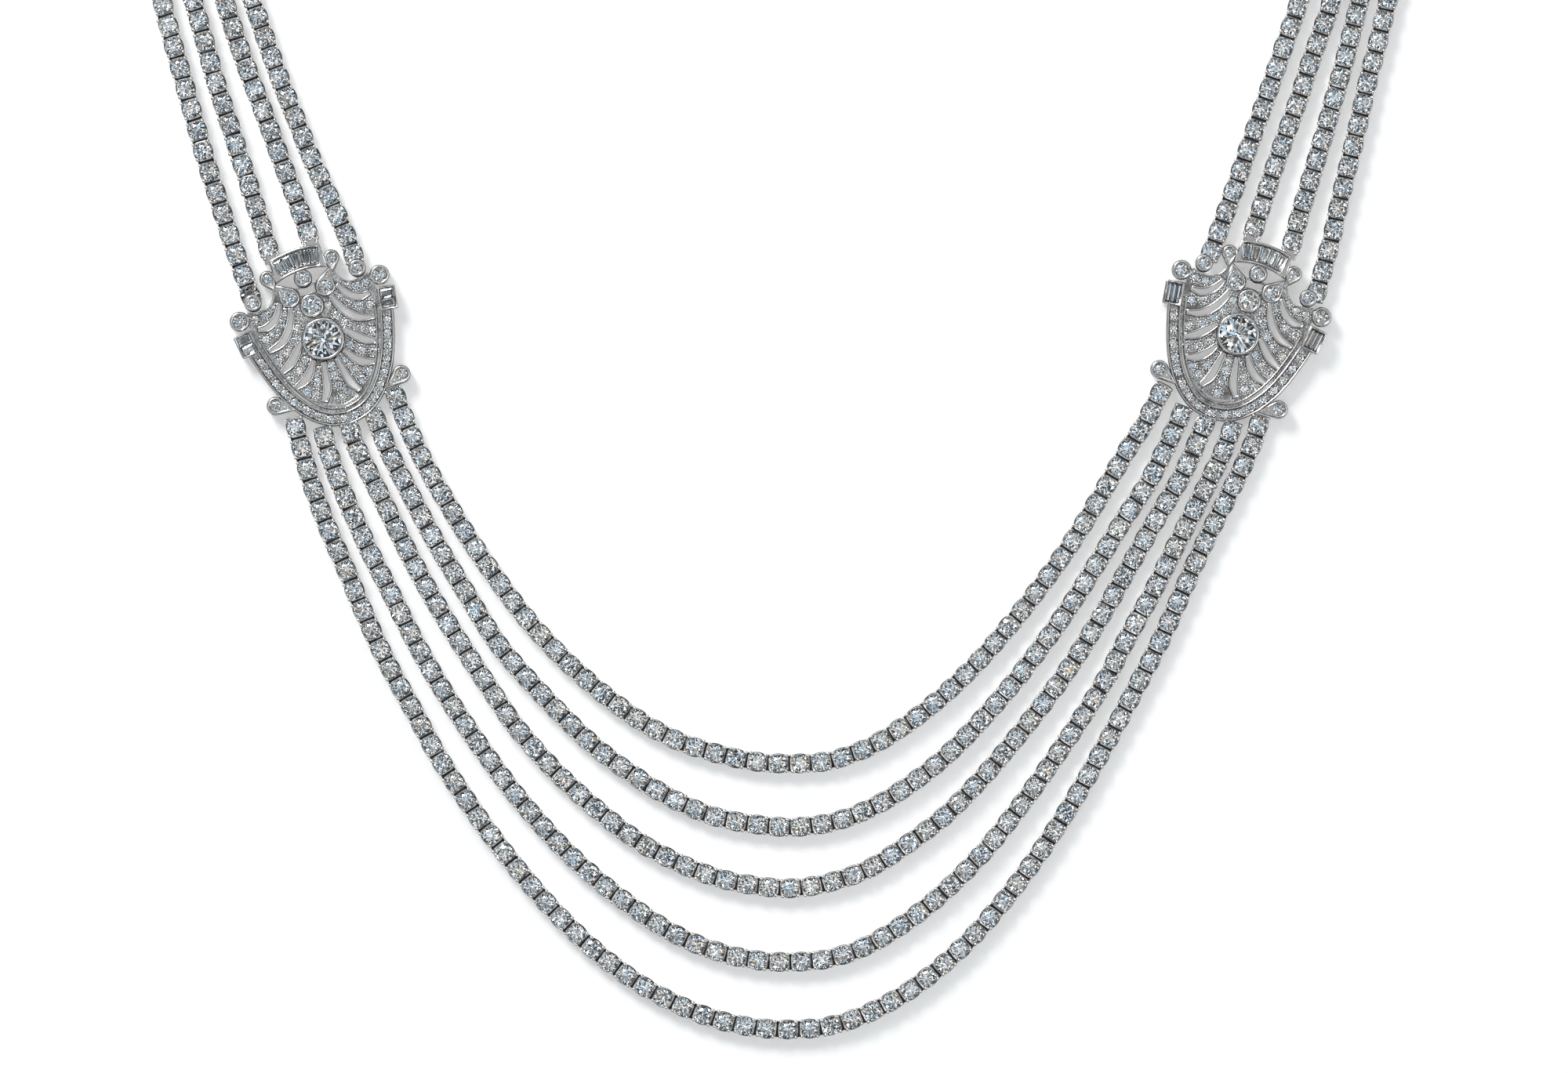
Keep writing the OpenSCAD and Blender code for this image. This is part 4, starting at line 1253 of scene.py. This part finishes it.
def make_grains(side, sizes):
    """The grains of metal that hold the small stones."""
    right = fan_places()
    left = [(Vector((-p.x, p.y)), Vector((-w.x, w.y))) for p, w in right]
    middle = [(Vector(p), Vector((0, -1))) for p in MIDDLE_STONES]
    cuts = fan_holes() + [inner_rim()] + both(strip(*LIP))
    free = rail(border_line(), EDGE_W - BORDER_W / 2, BORDER_W / 2 - EDGE_W)
    grains = grain_places(right + left + middle, cuts, fan_outline())
    grains += grain_places(border_places(side), [], free)
    r = sizes.bead_r / MM
    bm = bmesh.new()
    add_copies(bm, shape("Grain", lambda bm: lathe(bm, GRAIN_PROFILE, GRAIN_SIDES)), [
        Matrix.Translation((p.x, p.y, PLATE_TOP + GRAIN_RISE)) @ Matrix.Scale(r, 4) for p in grains])
    frame_piece(side, "grains", bm, white_metal())


def make_single_stones(side, draw):
    """The brilliants of the collets, one piece for each node."""
    spots = [("%s_%s" % (side, name), c, r, g) for name, c, r, g, _ in MIDDLE_COLLETS]
    for half, sx in HALVES:
        spots += [
            ("%s_%s_%s" % (side, half, name), (sx * x, y), r, g)
            for name, (x, y), r, g, _ in half_collets(side, sx)]
    for name, (x, y), r, girdle in spots:
        tilt = lean(draw, SINGLE_LEAN)
        place = stone_at(x, y, girdle, r, draw.uniform(0, pi / 4), tilt)
        stone_piece(side, name + "_stone", name + "_brilliant", stone_mesh(), [place])


def make_small_stones(side, sizes, draw):
    """The small brilliants of the border and of the fan's three fields."""
    r = sizes.pave_r / MM
    right = [p for p, _ in fan_places()]
    fields = {
        "border": [p for p, _ in border_places(side)], "inner_fan": right, "outer_fan": flipped(right),
        "middle_fan": [Vector(p) for p in MIDDLE_STONES],
    }
    for field, spots in fields.items():
        places = [
            stone_at(p.x, p.y, PAVE_GIRDLE, r, draw.uniform(0, pi / 4), lean(draw, SMALL_LEAN))
            for p in spots]
        name = "%s_%s" % (side, field)
        stone_piece(side, name + "_stones", name + "_brilliants", stone_mesh(), places)


def from_middle(count):
    """So many numbers, one apart and even about 0, such as -1, 0 and 1 for a count of 3."""
    return [i - (count - 1) / 2 for i in range(count)]


def make_baguettes(side, draw):
    """The step-cut stones of the arch and of the end boxes."""
    long_stone = shape("Arch baguette", cut_steps(*ARCH_STONE, ARCH_TAPER), 0.0)
    size, step, count = BOX_STONES[side]
    short_stone = shape("Box baguette " + side, cut_steps(*size), 0.0)
    for mesh in (long_stone, short_stone):
        mesh.shade_flat()
    middle = Matrix.Translation((0, (CHANNEL_IN + CHANNEL_OUT) / 2, 0))
    places = []
    for k in from_middle(ARCH_STONES):
        roll = Matrix.Rotation(draw.gauss(0, ARCH_LEAN[0]), 4, "X")
        nod = Matrix.Rotation(draw.gauss(0, ARCH_LEAN[1]), 4, "Y")
        places.append(at_spot(ARCH_C, radians(k * ARCH_STONE_ANGLE), CHANNEL_GIRDLE) @ middle @ roll @ nod)
    node = side + "_arch_baguettes"
    stone_piece(side, node, node + "_cut", long_stone, places)
    for half, sx in HALVES:
        box = at_spot((sx * BOX_C[0], BOX_C[1]), radians(sx * BOX_LEAN), CHANNEL_GIRDLE)
        places = []
        for k in from_middle(count):
            roll = Matrix.Rotation(draw.gauss(0, BOX_ROLL), 4, "X")
            nod = Matrix.Rotation(draw.choice((-1, 1)) * draw.uniform(*BOX_NOD), 4, "Y")
            places.append(box @ Matrix.Translation((k * step[0], k * step[1], 0)) @ roll @ nod)
        node = "%s_%s_box_baguettes" % (side, half)
        stone_piece(side, node, node + "_cut", short_stone, places)


def make_clasp():
    """The plain bar that the side rows end in."""
    low, high = (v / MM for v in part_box("clasp"))
    w, l = high.x - low.x, high.y - low.y
    centre = ((low.x + high.x) / 2, (low.y + high.y) / 2)
    bm = bmesh.new()
    outline = turned(rounded_box(w, l, CLASP_CORNER, CLASP_STEPS), 0, centre)
    pierced_block(bm, outline, [], 0.0, high.z, CLASP_ROUND)
    polish(bm)
    piece("clasp_bar", bm, [white_metal()], ["clasp"])


def new_material(name):
    """A material with its shader, and the coordinates of the object that it lies on."""
    material = bpy.data.materials.new(name)
    material.use_nodes = True
    shader = next(n for n in material.node_tree.nodes if n.type == "BSDF_PRINCIPLED")
    place = add_node(material.node_tree, "TexCoord").outputs["Object"]
    return material, shader, place


def add_node(tree, kind, inputs=None, **settings):
    """A shader node; each input is given a value, or the output that is wired to it."""
    made = tree.nodes.new("ShaderNode" + kind)
    for name, value in settings.items():
        setattr(made, name, value)
    for name, value in (inputs or {}).items():
        if isinstance(value, bpy.types.NodeSocket):
            tree.links.new(value, made.inputs[name])
        else:
            made.inputs[name].default_value = value
    return made


def maths(tree, operation, a, b):
    """The result of a sum on two values or outputs."""
    made = add_node(tree, "Math", operation=operation)
    for socket, value in zip(made.inputs, (a, b)):
        if isinstance(value, bpy.types.NodeSocket):
            tree.links.new(value, socket)
        else:
            socket.default_value = value
    return made.outputs["Value"]


def colour_ramp(tree, value, stops):
    """A colour ramp through stops of a position and a colour."""
    made = add_node(tree, "ValToRGB", {"Fac": value})
    first, last = made.color_ramp.elements
    for element, (position, shade) in ((first, stops[0]), (last, stops[-1])):
        element.position = position
        element.color = (*shade, 1.0)
    for position, shade in stops[1:-1]:
        made.color_ramp.elements.new(position).color = (*shade, 1.0)
    return made.outputs["Color"]


def polish_group():
    """Node group: a polished surface that has dulled in cloudy patches, with fine scratches."""
    if "Polish" in bpy.data.node_groups:
        return bpy.data.node_groups["Polish"]
    group = bpy.data.node_groups.new("Polish", "ShaderNodeTree")
    for name, kind in (
            ("Vector", "Vector"), ("Bright", "Color"), ("Dull", "Color"), ("Scale", "Float"),
            ("Bright Roughness", "Float"), ("Dull Roughness", "Float")):
        group.interface.new_socket(name=name, in_out="INPUT", socket_type="NodeSocket" + kind)
    for name, kind in (("Color", "Color"), ("Roughness", "Float"), ("Height", "Float")):
        group.interface.new_socket(name=name, in_out="OUTPUT", socket_type="NodeSocket" + kind)
    given = group.nodes.new("NodeGroupInput").outputs
    clouds = add_node(group, "TexNoise", {
        "Vector": given["Vector"], "Scale": given["Scale"], "Detail": 4.0, "Roughness": 0.6})
    share = add_node(group, "MapRange", {
        "Value": clouds.outputs["Fac"], "From Min": 0.38, "From Max": 0.68}).outputs["Result"]
    shade = add_node(
        group, "Mix", {"Factor": share, "A": given["Bright"], "B": given["Dull"]}, data_type="RGBA")
    rough = add_node(group, "MapRange", {
        "Value": share, "To Min": given["Bright Roughness"], "To Max": given["Dull Roughness"]})
    fine = maths(group, "MULTIPLY", given["Scale"], 4.0)
    scratch = add_node(group, "TexNoise", {
        "Vector": given["Vector"], "Scale": fine, "Detail": 0.5, "Distortion": 0.3})
    out = group.nodes.new("NodeGroupOutput")
    group.links.new(shade.outputs["Result"], out.inputs["Color"])
    group.links.new(rough.outputs["Result"], out.inputs["Roughness"])
    group.links.new(scratch.outputs["Fac"], out.inputs["Height"])
    return group


def shaded(shade, share):
    """A colour made darker or paler by a share."""
    return [share * c for c in shade]


def polished(name, bright, dull):
    """A metal from the polish group."""
    if name in bpy.data.materials:
        return bpy.data.materials[name]
    scale, roughness, relief = WEAR[name]
    material, shader, place = new_material(name)
    tree = material.node_tree
    wear = tree.nodes.new("ShaderNodeGroup")
    wear.node_tree = polish_group()
    tree.links.new(place, wear.inputs["Vector"])
    wear.inputs["Bright"].default_value = (*bright, 1.0)
    wear.inputs["Dull"].default_value = (*dull, 1.0)
    wear.inputs["Scale"].default_value = scale
    wear.inputs["Bright Roughness"].default_value = roughness[0]
    wear.inputs["Dull Roughness"].default_value = roughness[1]
    dents = add_node(tree, "Bump", {"Height": wear.outputs["Height"], "Strength": 1.0, "Distance": relief})
    tree.links.new(wear.outputs["Color"], shader.inputs["Base Color"])
    tree.links.new(wear.outputs["Roughness"], shader.inputs["Roughness"])
    tree.links.new(dents.outputs["Normal"], shader.inputs["Normal"])
    shader.inputs["Metallic"].default_value = 1.0
    return material


def white_metal():
    """Polished white metal of the settings."""
    look = bpy.context.scene.necklace_finishes
    return polished("White metal", look.metal, look.worn)


def grained_metal():
    """White metal between the small stones, cut into fine grains."""
    look = bpy.context.scene.necklace_finishes
    bright, dull = GRAINED_SHARES
    return polished("Grained metal", shaded(look.metal, bright), shaded(look.worn, dull))


def channel_shade_metal():
    """Rougher metal under the baguettes, its darker colour painted shade."""
    look = bpy.context.scene.necklace_finishes
    bright, dull = CHANNEL_SHADE_SHARES
    return polished("Channel shade metal", shaded(look.metal, bright), shaded(look.worn, dull))


def painted_shade_metal():
    """Dark metal in the gaps, seats and hollows; its near-black colour is painted shade."""
    look = bpy.context.scene.necklace_finishes
    return polished("Painted shade metal", look.painted_shade, shaded(look.painted_shade, PAINTED_SHADE_SHARE))


def diamond():
    """Cut stone: clear, strongly refracting, with a faint tint that changes from stone to stone."""
    if "Diamond" in bpy.data.materials:
        return bpy.data.materials["Diamond"]
    look = bpy.context.scene.necklace_finishes
    material, shader, place = new_material("Diamond")
    tree = material.node_tree
    patches = add_node(tree, "TexNoise", {"Vector": place, "Scale": TINT_SCALE, "Detail": 1.0})
    shades = (look.stone_warm, look.stone, look.stone_tint)
    tint = colour_ramp(tree, patches.outputs["Fac"], list(zip(TINT_STOPS, shades)))
    tree.links.new(tint, shader.inputs["Base Color"])
    shader.inputs["Roughness"].default_value = 0.0
    shader.inputs["IOR"].default_value = DIAMOND_IOR
    shader.inputs["Transmission Weight"].default_value = 1.0
    return material


def floor_material():
    """Pale matt sheet, softly lit from below."""
    look = bpy.context.scene.necklace_finishes
    material, shader, place = new_material("Pale floor")
    tree = material.node_tree
    fibres = add_node(tree, "TexNoise", {"Vector": place, "Scale": FIBRE_SCALE, "Detail": 3.0})
    shade = add_node(tree, "Mix", {
        "Factor": fibres.outputs["Fac"], "A": (*look.floor, 1.0),
        "B": (*shaded(look.floor, FIBRE_SHADE), 1.0),
    }, data_type="RGBA")
    tree.links.new(shade.outputs["Result"], shader.inputs["Base Color"])
    shader.inputs["Roughness"].default_value = 0.9
    shader.inputs["Specular IOR Level"].default_value = 0.1
    shader.inputs["Emission Color"].default_value = (1.0, 1.0, 1.0, 1.0)
    shader.inputs["Emission Strength"].default_value = look.floor_glow
    return material


def area_light(name, place, size, aim, power):
    """A soft rectangular light that points at a place."""
    light = bpy.data.lights.new(name, "AREA")
    light.shape = "RECTANGLE"
    light.size, light.size_y = size
    light.energy = power
    lamp = bpy.data.objects.new(name, light)
    lamp.location = place
    lamp.rotation_euler = (Vector(aim) - Vector(place)).to_track_quat("-Z", "Y").to_euler()
    lamp.visible_camera = False
    bpy.context.scene.collection.objects.link(lamp)


def make_world():
    """Studio surroundings: a soft gradient for the camera, with paler and darker panels in reflections."""
    world = bpy.data.worlds.new("Studio")
    bpy.context.scene.world = world
    world.use_nodes = True
    tree = world.node_tree
    back = next(n for n in tree.nodes if n.type == "BACKGROUND")
    place = add_node(tree, "TexCoord").outputs["Generated"]
    height = add_node(tree, "SeparateXYZ", {"Vector": place}).outputs["Z"]
    camera = add_node(tree, "LightPath").outputs["Is Camera Ray"]
    sky = add_node(
        tree, "Mix", {"Factor": height, "A": (*HORIZON, 1.0), "B": (*ZENITH, 1.0)}, data_type="RGBA")
    hue = add_node(tree, "TexNoise", {"Vector": place, "Scale": FIRE_SCALE})
    tinted = add_node(tree, "Mix", {
        "Factor": maths(tree, "SUBTRACT", 1.0, camera), "A": sky.outputs["Result"],
        "B": colour_ramp(tree, hue.outputs["Fac"], FIRE),
    }, data_type="RGBA", blend_type="MULTIPLY")
    noise = add_node(
        tree, "TexNoise", {"Vector": place, "W": PANEL_SEED, "Scale": PANEL_SCALE, "Detail": 1.0},
        noise_dimensions="4D")
    panels = add_node(tree, "MapRange", {
        "Value": noise.outputs["Fac"], "From Min": PANEL_EDGE[0], "From Max": PANEL_EDGE[1],
        "To Min": PANEL_LIGHT[0], "To Max": PANEL_LIGHT[1]})
    cap = add_node(tree, "MapRange", {
        "Value": height, "From Min": CAP_EDGE[0], "From Max": CAP_EDGE[1],
        "To Min": 1.0, "To Max": CAP_LIGHT})
    strength = add_node(tree, "Mix", {
        "Factor": camera, "B": 1.0,
        "A": maths(tree, "MULTIPLY", panels.outputs["Result"], cap.outputs["Result"])})
    tree.links.new(tinted.outputs["Result"], back.inputs["Color"])
    tree.links.new(strength.outputs["Result"], back.inputs["Strength"])


def make_studio(studio):
    """Floor, light and a long-lens camera that looks straight down."""
    bm = bmesh.new()
    bmesh.ops.create_grid(bm, x_segments=1, y_segments=1, size=FLOOR_HALF)
    mesh = bpy.data.meshes.new("Floor")
    bm.to_mesh(mesh)
    bm.free()
    mesh.materials.append(floor_material())
    floor = bpy.data.objects.new("Floor", mesh)
    bpy.context.scene.collection.objects.link(floor)
    middle = Vector((VIEW_MIDDLE[0] * MM, VIEW_MIDDLE[1] * MM, 0.0))
    make_world()
    area_light("Key", *KEY_LAMP, middle, studio.key_power)
    area_light("Fill", *FILL_LAMP, middle, studio.fill_power)
    camera = bpy.data.cameras.new("Camera")
    camera.sensor_width = SENSOR
    camera.lens = SENSOR * studio.camera_height / (VIEW_WIDTH * MM)
    camera.clip_start, camera.clip_end = CLIP
    eye = bpy.data.objects.new("Camera", camera)
    eye.location = middle + Vector((0, 0, studio.camera_height))
    bpy.context.scene.collection.objects.link(eye)
    bpy.context.scene.camera = eye
    bpy.context.scene.view_settings.view_transform = "Standard"


class NECKLACE_OT_front_rows(Operator):
    """Make the five rows in front"""

    bl_idname = "necklace.front_rows"
    bl_label = "Front Rows"

    def execute(self, context):
        sizes = context.scene.necklace_sizes
        draw = random.Random(sizes.seed)
        for i, route in enumerate(FRONT_ROUTES):
            make_row("front_row_%d" % (i + 1), route, FRONT_LEAD, sizes, draw)
        return {"FINISHED"}


class NECKLACE_OT_side_rows(Operator):
    """Make the four rows on each side"""

    bl_idname = "necklace.side_rows"
    bl_label = "Side Rows"

    def execute(self, context):
        sizes = context.scene.necklace_sizes
        draw = random.Random(sizes.seed + 1)
        for side in SIDES:
            for i, route in enumerate(SIDE_ROUTES[side]):
                make_row("%s_row_%d" % (side, i + 1), route, SIDE_LEAD, sizes, draw, i in TO_ARCH)
        return {"FINISHED"}


class NECKLACE_OT_plaque_metal(Operator):
    """Make the metal of both plaques"""

    bl_idname = "necklace.plaque_metal"
    bl_label = "Plaque Metal"

    def execute(self, context):
        sizes = context.scene.necklace_sizes
        for side in SIDES:
            make_fan(side, sizes)
            make_painted_shade_lines(side)
            make_border(side, sizes)
            make_collets(side, sizes)
            make_channels(side, sizes)
            make_wells(side, sizes)
            make_grains(side, sizes)
        return {"FINISHED"}


class NECKLACE_OT_plaque_stones(Operator):
    """Make the stones of both plaques"""

    bl_idname = "necklace.plaque_stones"
    bl_label = "Plaque Stones"

    def execute(self, context):
        sizes = context.scene.necklace_sizes
        draw = random.Random(sizes.seed + 2)
        for side in SIDES:
            make_single_stones(side, draw)
            make_small_stones(side, sizes, draw)
            make_baguettes(side, draw)
        return {"FINISHED"}


class NECKLACE_OT_clasp(Operator):
    """Make the clasp"""

    bl_idname = "necklace.clasp"
    bl_label = "Clasp"

    def execute(self, context):
        make_clasp()
        return {"FINISHED"}


class NECKLACE_OT_studio(Operator):
    """Make the floor, the light and the camera"""

    bl_idname = "necklace.studio"
    bl_label = "Studio"

    def execute(self, context):
        make_studio(context.scene.necklace_studio)
        return {"FINISHED"}


class NECKLACE_PT_panel(Panel):
    """Sizes, finishes and the operators"""

    bl_label = "Necklace"
    bl_idname = "NECKLACE_PT_panel"
    bl_space_type = "VIEW_3D"
    bl_region_type = "UI"
    bl_category = "Necklace"

    def draw(self, context):
        scene = context.scene
        for group in (scene.necklace_sizes, scene.necklace_finishes, scene.necklace_studio):
            box = self.layout.box()
            for name in group.__annotations__:
                box.prop(group, name)
        for operator in OPERATORS:
            self.layout.operator(operator.bl_idname)


OPERATORS = (
    NECKLACE_OT_studio, NECKLACE_OT_front_rows, NECKLACE_OT_side_rows, NECKLACE_OT_plaque_metal,
    NECKLACE_OT_plaque_stones, NECKLACE_OT_clasp,
)
GROUPS = (NecklaceSizes, NecklaceFinishes, NecklaceStudio)


def register():
    """Registers the classes and hangs the settings on the scene."""
    for item in GROUPS + OPERATORS + (NECKLACE_PT_panel,):
        bpy.utils.register_class(item)
    bpy.types.Scene.necklace_sizes = PointerProperty(type=NecklaceSizes)
    bpy.types.Scene.necklace_finishes = PointerProperty(type=NecklaceFinishes)
    bpy.types.Scene.necklace_studio = PointerProperty(type=NecklaceStudio)


def unregister():
    """Takes the settings and the classes away again."""
    for name in ("necklace_sizes", "necklace_finishes", "necklace_studio"):
        delattr(bpy.types.Scene, name)
    for item in reversed(GROUPS + OPERATORS + (NECKLACE_PT_panel,)):
        bpy.utils.unregister_class(item)


def main():
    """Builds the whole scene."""
    register()
    bpy.ops.necklace.studio()
    bpy.ops.necklace.front_rows()
    bpy.ops.necklace.side_rows()
    bpy.ops.necklace.plaque_metal()
    bpy.ops.necklace.plaque_stones()
    bpy.ops.necklace.clasp()


if __name__ == "__main__":
    main()
